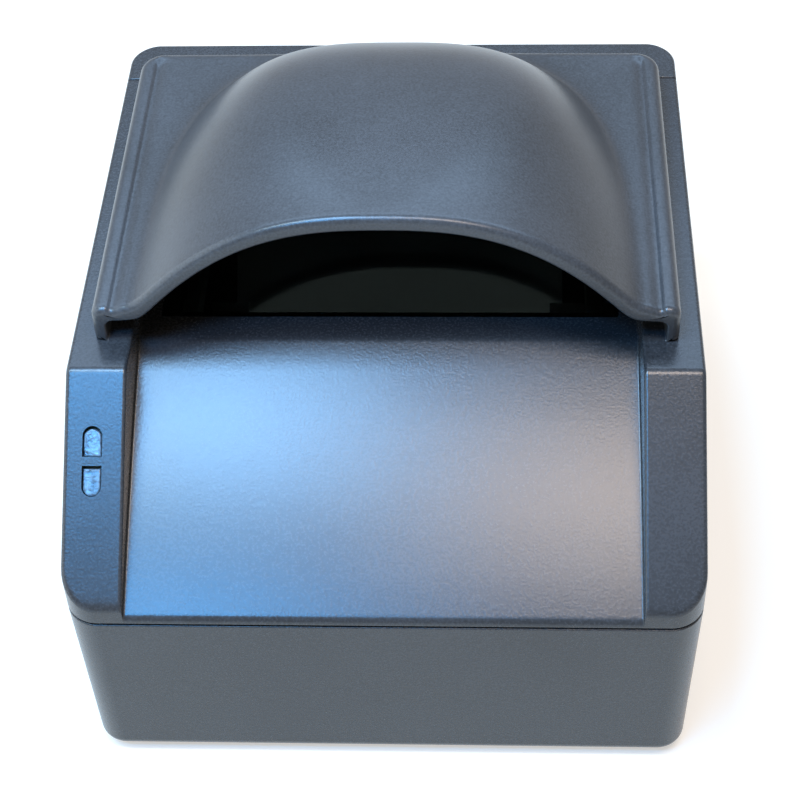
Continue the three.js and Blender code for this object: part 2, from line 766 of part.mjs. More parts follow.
const antennaIn = frameHalf + seat;
const antennaOut = antennaIn + antennaWidth;
const antennaYs = [frameYs[0] - seat - antennaWidth, frameYs[1] + chassisRear];
const antennaInYs = [frameYs[0] - seat, frameYs[1] + seat];

function antennaBoard() {
  const zs = [zFlangeTop + seat, zFlangeTop + seat + boardThick];
  return ringPlate(antennaOut, antennaYs, antennaIn, antennaInYs, zs);
}

const bracketBoltX = bracketWidth / 2 - smallHeadRadius - seat;

// Chassis that carries the optics
function opticsChassis() {
  const out = chassisInnerHalf + chassisWall;
  const nose = [
    [yChassisFront, chassisFloorLift],
    [yChassisEnd, chassisFloorLift],
    [yChassisEnd, zFlangeTop - chassisWall / 2],
    [antennaYs[0] + chassisWall, zFlangeTop - chassisWall / 2],
    [yChassisFront + chassisNoseLength, zFlangeBottom],
    [yChassisFront, chassisFloorLift + chassisNoseHeight],
  ];
  const side = both((s) => slab(nose, sided(s, chassisInnerHalf, out)));
  const floorHalf = chassisInnerHalf + chassisWall / 2;
  const floorYs = [yChassisFront, yChassisEnd];
  const floor = block([-floorHalf, floorHalf], floorYs, [chassisFloorLift, zChassisFloor]);
  const flangeZs = [zFlangeBottom, zFlangeTop];
  const flange = ringPlate(antennaOut, [antennaYs[0], yChassisEnd], ledgeHalf, ledgeYs, flangeZs);
  let body = side.add(floor).add(flange);
  for (const sign of [-1, 1]) {
    for (const y of chassisPostYs) {
      const zs = [chassisFloorLift - cutOver, zChassisFloor + cutOver];
      body = body.subtract(post(sign * chassisPostX, y, zs, smallShankRadius + seat));
    }
  }
  for (const side of [-1, 1]) {
    const zs = [chassisFloorLift - cutOver, zChassisFloor + cutOver];
    const y = yFront + cameraSetback - bracketFoot / 2;
    body = body.subtract(post(side * bracketBoltX, y, zs, smallShankRadius + seat));
  }
  const yFlex = yFront + cameraSetback + bracketThick + boardThick + 2 * seat;
  const slotXs = span(0, flexWidth + 2 * seat);
  const slotZs = [chassisFloorLift - cutOver, zChassisFloor + cutOver];
  return body.subtract(block(slotXs, [yFlex, yFlex + 2 * cutOver], slotZs));
}

const opticsGroup = new THREE.Group();

// Fold mirror at 45 degrees; local y runs up the mirror, local z out of its face
function mirrorGroup() {
  const group = new THREE.Group();
  group.position.set(0, yOpeningMiddle, cameraAxisLift);
  group.rotation.x = Math.PI / 4;
  const glassZs = [-mirrorThick, 0];
  const carrierZs = [-mirrorThick - seat - carrierThick, -mirrorThick - seat];
  const halfLong = mirrorLength / 2;
  const halfWide = mirrorWidth / 2;
  const carrierHalf = chassisInnerHalf - seat;
  const plate = block([-carrierHalf, carrierHalf], [-halfLong, halfLong], carrierZs);
  const rib = [carrierZs[0] - carrierRib, carrierZs[1]];
  const ribXs = (s) => sided(s, carrierHalf - carrierThick, carrierHalf);
  const ribs = both((s) => block(ribXs(s), [-halfLong, halfLong], rib));
  group.add(named('fold_mirror', block([-halfWide, halfWide], [-halfLong, halfLong], glassZs), mirror));
  group.add(named('mirror_carrier', plate.add(ribs), innerAbs));
  for (const [side, word] of [[-1, 'left'], [1, 'right']]) {
    const xs = sided(side, halfWide + seat, halfWide + clipWidth);
    const foot = block(xs, span(0, clipWidth), [carrierZs[1] + seat, seat + clipThick / 2]);
    const lipXs = sided(side, halfWide - clipWidth / 2, halfWide + clipWidth);
    const lip = block(lipXs, span(0, clipWidth), [seat, seat + clipThick]);
    group.add(named(`mirror_clip_${word}`, foot.add(lip), steel));
  }
  return group;
}

// Camera, looking to the rear along Y
function cameraGroup() {
  const group = new THREE.Group();
  group.position.set(0, yFront + cameraSetback, cameraAxisLift);
  const down = zChassisFloor + seat - cameraAxisLift;
  const half = cameraBoardSize / 2;
  const web = block(span(0, bracketWidth), [0, bracketThick], [down, half]);
  const footPlate = block(span(0, bracketWidth), [-bracketFoot, bracketThick], [down, down + bracketThick]);
  let bracket = web.add(footPlate);
  for (const side of [-1, 1]) {
    const zs = [down - cutOver, down + cutOver / 2];
    bracket = bracket.subtract(post(side * bracketBoltX, -bracketFoot / 2, zs, smallShankRadius + seat));
  }
  group.add(named('camera_bracket', bracket, steel));
  const boardY = bracketThick + seat;
  const chipYs = [boardY + boardThick / 2, boardY + boardThick + chipTall];
  const chip = block(span(half * 2 / 3, half / 3), chipYs, span(-half / 2, half / 3));
  const board = block([-half, half], [boardY, boardY + boardThick], [-half, half]).add(chip);
  group.add(named('camera_board', board, circuitBoard));
  const holderY = boardY + boardThick + seat;
  const holderHalf = lensHolderSize / 2;
  const holderYs = [holderY, holderY + lensHolderDepth];
  const holderBox = block([-holderHalf, holderHalf], holderYs, [-holderHalf, holderHalf]);
  const bore = barrel(0, [holderY + wall, holderY + lensHolderDepth + cutOver], 0, lensRadius + seat);
  group.add(named('lens_holder', holderBox.subtract(bore), lensBlack));
  const lensY = holderY + wall + seat;
  const tube = barrel(0, [lensY, lensY + lensLength], 0, lensRadius);
  const dish = barrel(0, [lensY + lensLength - lensFace, lensY + lensLength + cutOver], 0, lensBore);
  group.add(named('camera_lens', tube.subtract(dish), lensBlack));
  return group;
}

// One light board with its row of LEDs facing inward, and the diffuser in front of it
function lightBoard() {
  const half = lightBoardLength / 2;
  let board = block([0, boardThick], [-half, half], [0, lightBoardHeight]);
  const pitch = lightBoardLength / ledCount;
  for (let i = 0; i < ledCount; i += 1) {
    const y = (i + 1 / 2) * pitch - half;
    const xs = [boardThick / 2, boardThick + ledTall];
    board = board.add(block(xs, span(y, ledSize), span(lightBoardHeight / 2, ledSize)));
  }
  return board;
}

function lightDiffuser() {
  const half = lightBoardLength / 2;
  const x0 = boardThick + diffuserGap;
  const sheet = block([x0, x0 + diffuserThick], [-half, half], [0, lightBoardHeight]);
  const foot = block([boardThick + seat, x0 + diffuserThick], [-half, half], [0, diffuserThick]);
  return sheet.add(foot);
}

function uvBoard() {
  const half = uvBoardWidth / 2;
  let board = block([-half, half], [0, boardThick], [-uvBoardHeight, 0]);
  const pitch = uvBoardWidth / ledCount;
  const ledYs = [boardThick / 2, boardThick + ledTall];
  for (let i = 0; i < ledCount; i += 1) {
    const x = (i + 1 / 2) * pitch - half;
    board = board.add(block(span(x, ledSize), ledYs, span(-uvBoardHeight / 2, ledSize)));
  }
  return board;
}

// Main board with the parts that are soldered flat on it
function mainBoard() {
  const top = boardThick;
  const sunk = boardThick / 2;
  const half = mainBoardWidth / 2;
  const yMiddle = mainBoardLength / 2;
  let board = block([-half, half], [0, mainBoardLength], [0, boardThick]);
  const chipZs = [sunk, top + chipTall];
  for (const [place, size] of [[-1, smallChip], [0, chipSize], [1, smallChip]]) {
    board = board.add(block(span(place * chipSize * 3 / 2, size), span(yMiddle, size), chipZs));
  }
  const plugYs = [mainHoleInset, mainHoleInset + plugBarDepth];
  board = board.add(block(span(0, plugBarWidth), plugYs, [sunk, top + plugBarTall]));
  for (const place of [-1, 1]) {
    const x = -half + 3 * capRadius + place * (capRadius + seat);
    board = board.add(post(x, yMiddle + chipSize, [sunk, top + capTall], capRadius, 2 * smallStep));
  }
  for (const [x, y] of mainPostPlaces) {
    board = board.subtract(post(x, y - mainBoardStart, [-cutOver, cutOver], smallShankRadius + seat));
  }
  return board;
}

function usbSocket() {
  const half = usbWidth / 2;
  const outside = block([-half, half], [-usbLength, 0], [0, usbTall]);
  const mouthXs = [-half + usbShell, half - usbShell];
  const mouth = block(mouthXs, [-usbDepth, cutOver], [usbShell, usbTall - usbShell]);
  const tongueZs = span(usbTall / 2, usbTongueTall);
  const tongue = block(span(0, usbTongueWidth), [-usbDepth - usbShell, -usbShell], tongueZs);
  return outside.subtract(mouth).add(tongue);
}

function powerSocket() {
  const half = jackWidth / 2;
  const outside = block([-half, half], [-jackLength, 0], [0, jackTall]);
  const bore = barrel(0, [-jackDepth, cutOver], jackTall / 2, jackBore);
  const pin = barrel(0, [-jackDepth - usbShell, -usbShell], jackTall / 2, jackPin, smallStep);
  return outside.subtract(bore).add(pin);
}

function buzzer() {
  const can = post(0, 0, [0, buzzerTall], buzzerRadius);
  return can.subtract(post(0, 0, [buzzerTall / 2, buzzerTall + cutOver], buzzerHole, smallStep));
}

// Screw standing on its shank: the head is below z = 0 and carries a cross
function screw(headRadius, headTall, shankRadius, shankLength) {
  const head = post(0, 0, [-headTall, 0], headRadius, screwSteps);
  const shank = post(0, 0, [-headTall / 2, shankLength], shankRadius, shankSteps);
  const zs = [-headTall - cutOver, -headTall + crossDepth];
  const arm = headRadius * 2 / 3;
  const bar = block([-arm, arm], span(0, crossWidth), zs);
  const cross = bar.add(block(span(0, crossWidth), [-arm, arm], zs));
  return head.add(shank).subtract(cross);
}

const smallScrew = () => screw(smallHeadRadius, smallHeadTall, smallShankRadius, smallShankLength);

function foot() {
  const sunk = footProud + footRecess - seat;
  const geometry = new THREE.LatheGeometry([
    new THREE.Vector2(0, 0),
    new THREE.Vector2(footRadius - footProud / 2, 0),
    new THREE.Vector2(footRadius, footProud / 2),
    new THREE.Vector2(footRadius, sunk),
    new THREE.Vector2(0, sunk),
  ], footSteps);
  geometry.rotateX(Math.PI / 2);
  return solid(geometry);
}

// Flat cable from the camera board down through the chassis floor to the main board
function cameraFlex() {
  const yDrop = yFront + cameraSetback + bracketThick + boardThick + 2 * seat + cutOver;
  const zRun = (zTubFloor + chassisFloorLift) / 2 + plugBarTall;
  const zEnd = mainBoardLift + boardThick + plugBarTall + 2 * seat;
  const yPlug = mainBoardStart + mainHoleInset + plugBarDepth / 2;
  const zStart = cameraAxisLift - cameraBoardSize / 2 + seat;
  const t = flexThick;
  const yBoard = yFront + cameraSetback + bracketThick + boardThick + 2 * seat;
  const outline = [
    [yBoard, zStart],
    [yDrop, zStart],
    [yDrop, zRun],
    [yPlug, zRun],
    [yPlug, zEnd],
    [yPlug - t, zEnd],
    [yPlug - t, zRun - t],
    [yDrop - t, zRun - t],
    [yDrop - t, zStart - t],
    [yBoard, zStart - t],
  ];
  return slab(outline.reverse(), span(0, flexWidth));
}

// Cable from the status board down the left arm to the main board
function statusCable() {
  const tailZ = statusBoardBottom - seat - cableRadius;
  const tail = new THREE.Vector3(xStatus, statusScrewY + statusBoardLength, tailZ);
  tail.applyMatrix4(new THREE.Matrix4().makeRotationX(armAngle).setPosition(0, yKink, zPlate));
  const xDown = -(antennaOut + halfWidth) / 2;
  const zLow = zTubFloor + 3 * cableRadius;
  const yTurn = yKink + 2 * cutOver;
  const path = new THREE.CatmullRomCurve3([
    tail,
    new THREE.Vector3(xDown, yTurn, tail.z - bandHeight),
    new THREE.Vector3(xDown, yTurn, (tail.z + zLow) / 2),
    new THREE.Vector3(xDown + cableRadius, yTurn + cutOver, zLow + 2 * bandHeight),
    new THREE.Vector3(-chassisPostX, yTurn + 3 * cutOver, zLow),
    new THREE.Vector3(-mainBoardWidth / 2 - 2 * cableRadius, mainBoardStart + 2 * cutOver, zLow),
  ]);
  const section = new THREE.Shape();
  for (let i = 0; i < cableSides; i += 1) {
    const turn = 2 * Math.PI * i / cableSides;
    const at = [cableRadius * Math.cos(turn), cableRadius * Math.sin(turn)];
    if (i === 0) section.moveTo(...at);
    else section.lineTo(...at);
  }
  const steps = 2 * smallStep;
  return solid(new THREE.ExtrudeGeometry(section, { steps, extrudePath: path, bevelEnabled: false }));
}

// Scene graph
function named(name, shape, material) {
  const mesh = new THREE.Mesh(geometryOf(shape), material);
  mesh.name = name;
  return mesh;
}

function placed(mesh, x, y, z, turnX = 0, turnZ = 0) {
  mesh.position.set(x, y, z);
  mesh.rotation.set(turnX, 0, turnZ);
  return mesh;
}

const reader = new THREE.Group();
reader.name = 'passport_reader';

reader.add(named('lower_housing', lowerHousing(), caseAbs));
reader.add(named('top_cover', topCover(), caseAbs));
reader.add(named('rear_cover', rearCover(), caseAbs));
reader.add(named('hood', hood(), hoodAbs));

reader.add(named('document_glass', documentGlass(), glass));
reader.add(named('glass_gasket', glassGasket(), rubber));
reader.add(named('glass_frame', glassFrame(), innerAbs));
reader.add(named('antenna_board', antennaBoard(), circuitBoard));

opticsGroup.add(named('optics_chassis', opticsChassis(), innerAbs));
opticsGroup.add(mirrorGroup());
opticsGroup.add(cameraGroup());
const lightX = chassisInnerHalf - seat;
for (const [side, word, turn] of [[-1, 'left', 0], [1, 'right', Math.PI]]) {
  const x = side * lightX;
  const strip = named(`light_board_${word}`, lightBoard(), circuitBoard);
  const sheet = named(`light_diffuser_${word}`, lightDiffuser(), diffuserPlastic);
  for (const mesh of [strip, sheet]) {
    opticsGroup.add(placed(mesh, x, yOpeningMiddle, lightBoardLift, 0, turn));
  }
}
const uvMesh = named('uv_light_board', uvBoard(), circuitBoard);
opticsGroup.add(placed(uvMesh, 0, antennaYs[0] + antennaWidth, zFlangeBottom - seat));
reader.add(opticsGroup);

// Status lights under the left arm, in the frame of its sloping face
const statusGroup = new THREE.Group();
statusGroup.position.set(0, yKink, zPlate);
statusGroup.rotation.x = armAngle;
for (const [half, word] of [[1, 'upper'], [-1, 'lower']]) {
  const lens = prism(lightOutline(seat / 2, half), [statusLensBottom, -lightRecess]);
  const flange = prism(lightOutline(-lensFlange, half), [statusLensBottom, -wall - seat]);
  const bridge = block(span(xStatus, bodyWidth), span(-lightOffset, seat), [-cutOver, 0]);
  statusGroup.add(named(`status_lens_${word}`, lens.add(flange).subtract(bridge), clearPlastic));
}
function statusBoard() {
  const yStart = statusScrewY - smallHeadRadius - seat;
  const zs = [statusBoardBottom, statusBoardTop];
  let board = block(span(xStatus, statusBoardWidth), [yStart, yStart + statusBoardLength], zs);
  for (const half of [-1, 1]) {
    const y = -lightOffset + half * lightSpan / 4;
    const ledZs = [statusBoardBottom + statusBoardThick / 2, statusBoardTop + statusLedTall];
    board = board.add(block(span(xStatus, statusLed), span(y, statusLed), ledZs));
  }
  const zCut = [statusBoardBottom - cutOver, statusBoardTop + cutOver];
  return board.subtract(post(xStatus, statusScrewY, zCut, smallShankRadius + seat));
}
statusGroup.add(named('status_light_board', statusBoard(), circuitBoard));
const statusScrew = screw(smallHeadRadius, smallHeadTall, smallShankRadius, smallShankLength / 2);
const statusScrewMesh = named('status_board_screw', statusScrew, steel);
statusGroup.add(placed(statusScrewMesh, xStatus, statusScrewY, statusBoardBottom - seat));
reader.add(statusGroup);

reader.add(placed(named('main_board', mainBoard(), circuitBoard), 0, mainBoardStart, mainBoardLift));
reader.add(placed(named('usb_socket', usbSocket(), socketSteel), usbOffset, ySocketFace, zSocket));
reader.add(placed(named('power_socket', powerSocket(), lensBlack), -jackOffset, ySocketFace, zSocket));
const buzzerMesh = named('buzzer', buzzer(), lensBlack);
const buzzerIn = 2 * buzzerRadius;
reader.add(placed(buzzerMesh, mainBoardWidth / 2 - buzzerIn, mainBoardStart + buzzerIn, zSocket));
reader.add(named('camera_cable', cameraFlex(), flexFilm));
reader.add(named('status_cable', statusCable(), cableSleeve));

const corners = ['front_left', 'rear_left', 'front_right', 'rear_right'];
footPlaces.forEach(([x, y], i) => {
  reader.add(placed(named(`foot_${corners[i]}`, foot(), rubber), x, y, 0));
});
corners.forEach((corner, i) => {
  const x = (i < 2 ? -1 : 1) * caseBossX;
  const y = caseBossYs[i % 2];
  const shape = screw(caseHeadRadius, caseHeadTall, caseShankRadius, caseShankLength - cutOver);
  reader.add(placed(named(`case_screw_${corner}`, shape, steel), x, y, caseCounterbore - seat));
});
corners.forEach((corner, i) => {
  const x = (i < 2 ? -1 : 1) * chassisPostX;
  const y = chassisPostYs[i % 2];
  const mesh = named(`chassis_screw_${corner}`, smallScrew(), steel);
  reader.add(placed(mesh, x, y, zChassisFloor + seat, Math.PI));
});
mainPostPlaces.forEach(([x, y], i) => {
  const mesh = named(`main_board_screw_${corners[i]}`, smallScrew(), steel);
  reader.add(placed(mesh, x, y, mainBoardLift + boardThick + seat, Math.PI));
});
for (const [side, word] of [[-1, 'left'], [1, 'right']]) {
  const rear = named(`rear_cover_screw_${word}`, smallScrew(), steel);
  reader.add(placed(rear, side * rearScrewX, yRearHead + seat, zRearScrew, Math.PI / 2));
  const boltX = side * bracketBoltX;
  const bolt = named(`camera_bracket_screw_${word}`, smallScrew(), steel);
  const boltZ = zChassisFloor + 2 * seat + bracketThick;
  reader.add(placed(bolt, boltX, yFront + cameraSetback - bracketFoot / 2, boltZ, Math.PI));
}

export default reader;
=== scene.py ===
# %% [markdown]
# # Passport reader
# This lesson dresses a desktop reader. It is a boxy case with a sloping channel between two arms,
# a glass window at the end of the channel and a domed light hood over the glass.
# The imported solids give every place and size, so nothing here is moved to fit. Fine shells with
# real rounded edges take the place of the faceted ones, and each surface gets a finish that is
# worked out from what the real piece is made of.

import math

import bmesh
import bpy
from mathutils import Matrix, Vector


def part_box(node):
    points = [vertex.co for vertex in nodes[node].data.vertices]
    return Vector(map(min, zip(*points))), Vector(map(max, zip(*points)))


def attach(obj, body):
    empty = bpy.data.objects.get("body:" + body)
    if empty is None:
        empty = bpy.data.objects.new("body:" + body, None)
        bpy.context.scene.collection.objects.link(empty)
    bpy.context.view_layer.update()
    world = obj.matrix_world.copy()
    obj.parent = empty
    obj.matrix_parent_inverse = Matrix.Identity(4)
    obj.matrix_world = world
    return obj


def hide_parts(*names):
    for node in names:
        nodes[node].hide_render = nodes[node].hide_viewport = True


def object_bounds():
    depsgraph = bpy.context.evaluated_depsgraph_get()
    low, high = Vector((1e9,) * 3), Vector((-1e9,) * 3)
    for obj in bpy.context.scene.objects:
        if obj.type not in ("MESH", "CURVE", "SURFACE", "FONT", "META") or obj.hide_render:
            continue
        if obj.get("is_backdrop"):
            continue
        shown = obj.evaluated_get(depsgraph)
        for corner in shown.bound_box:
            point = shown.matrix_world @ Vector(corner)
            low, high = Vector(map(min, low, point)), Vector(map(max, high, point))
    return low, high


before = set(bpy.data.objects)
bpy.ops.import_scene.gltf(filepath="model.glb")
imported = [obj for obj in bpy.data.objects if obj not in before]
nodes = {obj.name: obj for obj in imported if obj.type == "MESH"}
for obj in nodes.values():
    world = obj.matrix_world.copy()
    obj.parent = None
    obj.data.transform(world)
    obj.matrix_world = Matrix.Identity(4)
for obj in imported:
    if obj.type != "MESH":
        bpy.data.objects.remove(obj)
cad_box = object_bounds()
MM = 0.001
print("nodes", len(nodes))

# %% [markdown]
# ## Sizes
# The outer sizes could be typed in again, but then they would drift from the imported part, so they
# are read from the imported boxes. What a box can't say, such as a corner radius or the place of a
# fold, is written here in millimetres, as the part's own drawing has it. X runs to the right,
# y to the rear and z up.


# %% Sizes of the case
def box_mm(node):
    """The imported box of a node, in millimetres."""
    low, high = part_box(node)
    return [v / MM for v in low], [v / MM for v in high]


cover_low, cover_high = box_mm("top_cover")
glass_low, glass_high = box_mm("document_glass")
hood_low, hood_high = box_mm("hood")

HALF_WIDTH = cover_high[0]
Y_FRONT = cover_low[1]
Y_REAR = box_mm("rear_cover")[1][1]
Z_PLATE = cover_high[2]
Z_BOTTOM = box_mm("lower_housing")[0][2]
CORNER_RADIUS = 9.7
WALL = 2.5
SEAT_GAP = 0.3
Z_SEAM = 63.7
SEAM_HALF = 0.4
Z_BAND_TOP = 70.2
KINK_SETBACK = 52.5
REAR_COVER_DEPTH = 18.6
Y_KINK = Y_FRONT + KINK_SETBACK
ARM_SLOPE = (Z_PLATE - Z_BAND_TOP) / KINK_SETBACK
ARM_ANGLE = math.atan(ARM_SLOPE)
Y_REAR_SEAM = Y_REAR - REAR_COVER_DEPTH
print("case", [round(v, 2) for v in (2 * HALF_WIDTH, Y_REAR - Y_FRONT, Z_PLATE)])

# %% Sizes of the channel and the glass opening
ARM_WIDTH = 16.95
CHANNEL_WALL = 2.2
CHANNEL_SETBACK = 26.5
FLOOR_DEPTH = 8
CHANNEL_HALF = HALF_WIDTH - ARM_WIDTH
Y_CHANNEL_END = Y_REAR - CHANNEL_SETBACK
Z_FLOOR = Z_PLATE - FLOOR_DEPTH
Y_BEND_TOP = -27.05
Y_BEND_FOOT = -29.3
# The floor's slope where it starts to bend, where the bend ends and at the front
FLOOR_SLOPES = ((Y_BEND_TOP, 0.0), (Y_BEND_FOOT, 0.43), (Y_FRONT, 0.585))
OPENING_HALF = glass_high[0] + SEAT_GAP
OPENING_FRONT = glass_low[1] - SEAT_GAP
OPENING_REAR = glass_high[1] + SEAT_GAP
print("opening", round(2 * OPENING_HALF, 2), "by", round(OPENING_REAR - OPENING_FRONT, 2))

# %% [markdown]
# ## From sections to a closed shell
# A moulded shell could be cut from boxes and bevelled, but bevels on cut meshes tear easily.
# Here each shell is drawn as a row of cross sections instead, as a mould maker would check it:
# one sheet for the outer face, one for the inner face, and narrow strips that roll round every
# free edge. The strips share their border points, so welding them gives one closed solid.

# %% Helpers for rounded edges
# Steps in a quarter turn of the outer rim, the arms' inner edge, the foot of a wall and a lip
RIM_STEPS, EDGE_STEPS, FILLET_STEPS, LIP_STEPS = 6, 5, 3, 4


def arc(radius, count):
    """Distance from the edge and drop below the face, from the face round to the wall."""
    turns = [math.pi / 2 * (1 - i / count) for i in range(count + 1)]
    return [(radius * (1 - math.cos(t)), radius * (1 - math.sin(t))) for t in turns]


def drop_at(distance, radius):
    """How far a rounded edge has dropped at this distance from it."""
    inside = radius - min(max(distance, 0.0), radius)
    return radius - math.sqrt(radius * radius - inside * inside)


def spread(start, end, pitch):
    """Evenly spaced values from start to end, no further apart than the pitch."""
    count = max(1, math.ceil(abs(end - start) / pitch))
    return [start + (end - start) * i / count for i in range(count + 1)]


def near_edge(radius, count):
    """Distances at which a rounded edge is sampled, from the edge inwards."""
    return sorted(distance for distance, drop in arc(radius, count))


print("a quarter turn of 1 mm in two steps", [round(d, 2) for d in near_edge(1.0, 2)])

# %% A skin made of welded patches
SKIN_WELD = 0.004


class Skin:
    """Patches of four-sided faces in millimetres, welded into one solid."""

    def __init__(self):
        self.mesh = bmesh.new()

    def patch(self, rows, skip=None):
        """Adds a grid of faces from rows of points, without those that skip picks out."""
        grid = [[self.mesh.verts.new([v * MM for v in point]) for point in row] for row in rows]
        for upper, lower in zip(grid, grid[1:]):
            for i in range(len(upper) - 1):
                corners = (upper[i], upper[i + 1], lower[i + 1], lower[i])
                middle = sum((v.co for v in corners), Vector()) / 4 / MM
                if skip is None or not skip(middle):
                    self.mesh.faces.new(corners)

    def cap(self, points):
        """Closes an end with one face."""
        self.mesh.faces.new([self.mesh.verts.new([v * MM for v in point]) for point in points])

    def weld(self):
        """Joins the points that patches share and turns every face outwards."""
        bm = self.mesh
        bmesh.ops.remove_doubles(bm, verts=bm.verts, dist=SKIN_WELD * MM)
        loose = [v for v in bm.verts if not v.link_faces]
        bmesh.ops.delete(bm, geom=loose, context="VERTS")
        bmesh.ops.recalc_face_normals(bm, faces=bm.faces)
        return bm


# %% Turn a skin into an object
SHARP_DEGREES = 32
LARGE_FACE_WEIGHT = 80


def open_edges(bm):
    """Edges that don't join exactly two faces; a closed solid has none."""
    return sum(not edge.is_manifold for edge in bm.edges)


def finish_mesh(piece):
    """Smooth faces with crisp true corners, shaded by the large faces."""
    mesh = piece.data
    mesh.shade_smooth()
    mesh.set_sharp_from_angle(angle=math.radians(SHARP_DEGREES))
    even = piece.modifiers.new("Even shading", "WEIGHTED_NORMAL")
    even.keep_sharp = True
    even.weight = LARGE_FACE_WEIGHT


def made(bm, name):
    """An object in the scene from a bmesh, with its faces and open edges counted."""
    open_count = open_edges(bm)
    mesh = bpy.data.meshes.new(name)
    bm.to_mesh(mesh)
    bm.free()
    piece = bpy.data.objects.new(name, mesh)
    bpy.context.scene.collection.objects.link(piece)
    finish_mesh(piece)
    print(name, "faces", len(mesh.polygons), "open edges", open_count)
    return piece


# %% Cut or join with other solids
def combine(piece, tools, operation):
    """Cuts the tools out of a piece, or joins them to it, and removes them."""
    bpy.context.view_layer.update()
    for tool in tools:
        step = piece.modifiers.new("Step", "BOOLEAN")
        step.operation = operation
        step.solver = "EXACT"
        step.object = tool
    shading = [m for m in piece.modifiers if m.type == "WEIGHTED_NORMAL"]
    for m in shading:
        piece.modifiers.remove(m)
    graph = bpy.context.evaluated_depsgraph_get()
    result = bpy.data.meshes.new_from_object(piece.evaluated_get(graph))
    old = piece.data
    piece.modifiers.clear()
    piece.data = result
    result.name = piece.name
    bpy.data.meshes.remove(old)
    for tool in tools:
        bpy.data.objects.remove(tool)
    finish_mesh(piece)
    check = bmesh.new()
    check.from_mesh(result)
    print(piece.name, "faces", len(result.polygons), "open edges", open_edges(check))
    check.free()
    return piece


# %% [markdown]
# ## One face of a shell
# A moulding has a face that shows and one a wall further in. Each could be a list of loose points,
# but then they would drift apart, so one class draws either. A face runs from an open end to a
# closed end with two round corners in plan. Every section across it is a list of points: up one
# side wall, over the top and down the other side. Columns near the side keep their distance from
# it, columns in the middle spread out, and columns at the channel stay where they are.


# %% The face of a shell
class Face:
    """The outer or inner face of a shell, as sections across it."""

    def __init__(
        self, y_open, y_closed, half, corner, height, edge_radius, base, foot_radius, columns
    ):
        self.y_open = y_open
        self.way = 1 if y_closed > y_open else -1
        self.length = abs(y_closed - y_open)
        self.half = half
        self.corner = corner
        self.height = height
        self.edge_radius = edge_radius
        self.base = base
        self.foot = [(drop, distance) for distance, drop in arc(foot_radius, FILLET_STEPS)]
        self.columns = columns
        self.widest = max([value for kind, value, tag in columns if kind == "edge"])
        self.anchor = max([value for kind, value, tag in columns if kind == "fixed"] or [0.0])

    def behind(self, t):
        """How far a section lies inside the round corners, and 0 before them."""
        return max(0.0, t - (self.length - self.corner))

    def reach(self, t):
        """Half the width of the face at a section."""
        across = math.sqrt(max(0.0, self.corner**2 - self.behind(t) ** 2))
        return self.half - self.corner + across

    def edge_distance(self, x, t):
        """Distance of a point from the nearest wall."""
        beside = abs(x) - (self.half - self.corner)
        if beside > 0 and self.behind(t) > 0:
            return self.corner - math.hypot(beside, self.behind(t))
        return min(self.half - abs(x), self.length - t)

    def outward(self, side, t):
        """Direction in plan in which the wall faces at a section; side is -1 left and 1 right."""
        along = min(1.0, self.behind(t) / self.corner)
        return side * math.sqrt(1 - along * along), self.way * along

    def place(self, kind, value, t):
        """Distance of a column from the middle at a section."""
        if kind == "fixed":
            return value
        if kind == "edge":
            return self.reach(t) - value
        return self.anchor + (self.reach(t) - self.widest - self.anchor) * value

    def wall_line(self, x, y, normal):
        """Points at the foot of the wall, rolled in under it."""
        return [(x - normal[0] * i, y - normal[1] * i, self.base + lift) for i, lift in self.foot]

    def across(self, row):
        """The top points of one section, left to right."""
        t, tag = row
        y = self.y_open + self.way * t
        order = [(-1, c) for c in self.columns] + [(1, c) for c in self.columns[-2::-1]]
        points = []
        for side, (kind, value, column_tag) in order:
            x = side * self.place(kind, value, t)
            z = self.height(x, y, column_tag, tag)
            points.append((x, y, z - drop_at(self.edge_distance(x, t), self.edge_radius)))
        return points

    def section(self, row):
        """All points of one section, from the foot of the left wall to that of the right one."""
        points = self.across(row)
        left = self.wall_line(points[0][0], points[0][1], self.outward(-1, row[0]))
        right = self.wall_line(points[-1][0], points[-1][1], self.outward(1, row[0]))
        return left[::-1] + points + right


def rolled(face, tag, radius, sign):
    """Sections that roll round the open end of a face; sign is 1 outside and -1 inside."""
    strips = []
    for distance, drop in arc(radius, LIP_STEPS):
        line = face.section((distance, tag))
        moved = []
        for i, point in enumerate(line):
            before, after = line[max(0, i - 1)], line[min(len(line) - 1, i + 1)]
            dx, dz = after[0] - before[0], after[2] - before[2]
            size = math.hypot(dx, dz) or 1.0
            shift = sign * drop / size
            moved.append((point[0] + dz * shift, point[1], point[2] - dx * shift))
        strips.append(moved)
    return strips


# %% Join the two faces of a shell
def shell(name, outer, inner, outer_rows, inner_rows, lip_radii, skip=None, extra=None):
    """Outer face, inner face and every edge between them."""
    skin = Skin()
    loops = []
    lips = []
    faces = (outer, outer_rows, 1, lip_radii[0]), (inner, inner_rows, -1, lip_radii[1])
    for face, rows, sign, radius in faces:
        tag = rows[0][1]
        sections = [face.section((radius, tag))] + [face.section(row) for row in rows]
        skin.patch(sections, skip)
        last = sections[-1]
        foot = len(face.foot)
        skin.cap(last[foot - 1 : len(last) - foot + 1])
        skin.patch([[last[foot - 1 - k], last[len(last) - foot + k]] for k in range(foot)])
        strips = rolled(face, tag, radius, sign)
        skin.patch(strips)
        lips.append(strips[-1])
        lines = strips[:0:-1] + sections
        loops.append([s[0] for s in lines] + [s[-1] for s in lines[::-1]])
    skin.patch(loops)
    skin.patch(lips)
    if extra:
        extra(skin)
    return made(skin.weld(), name)


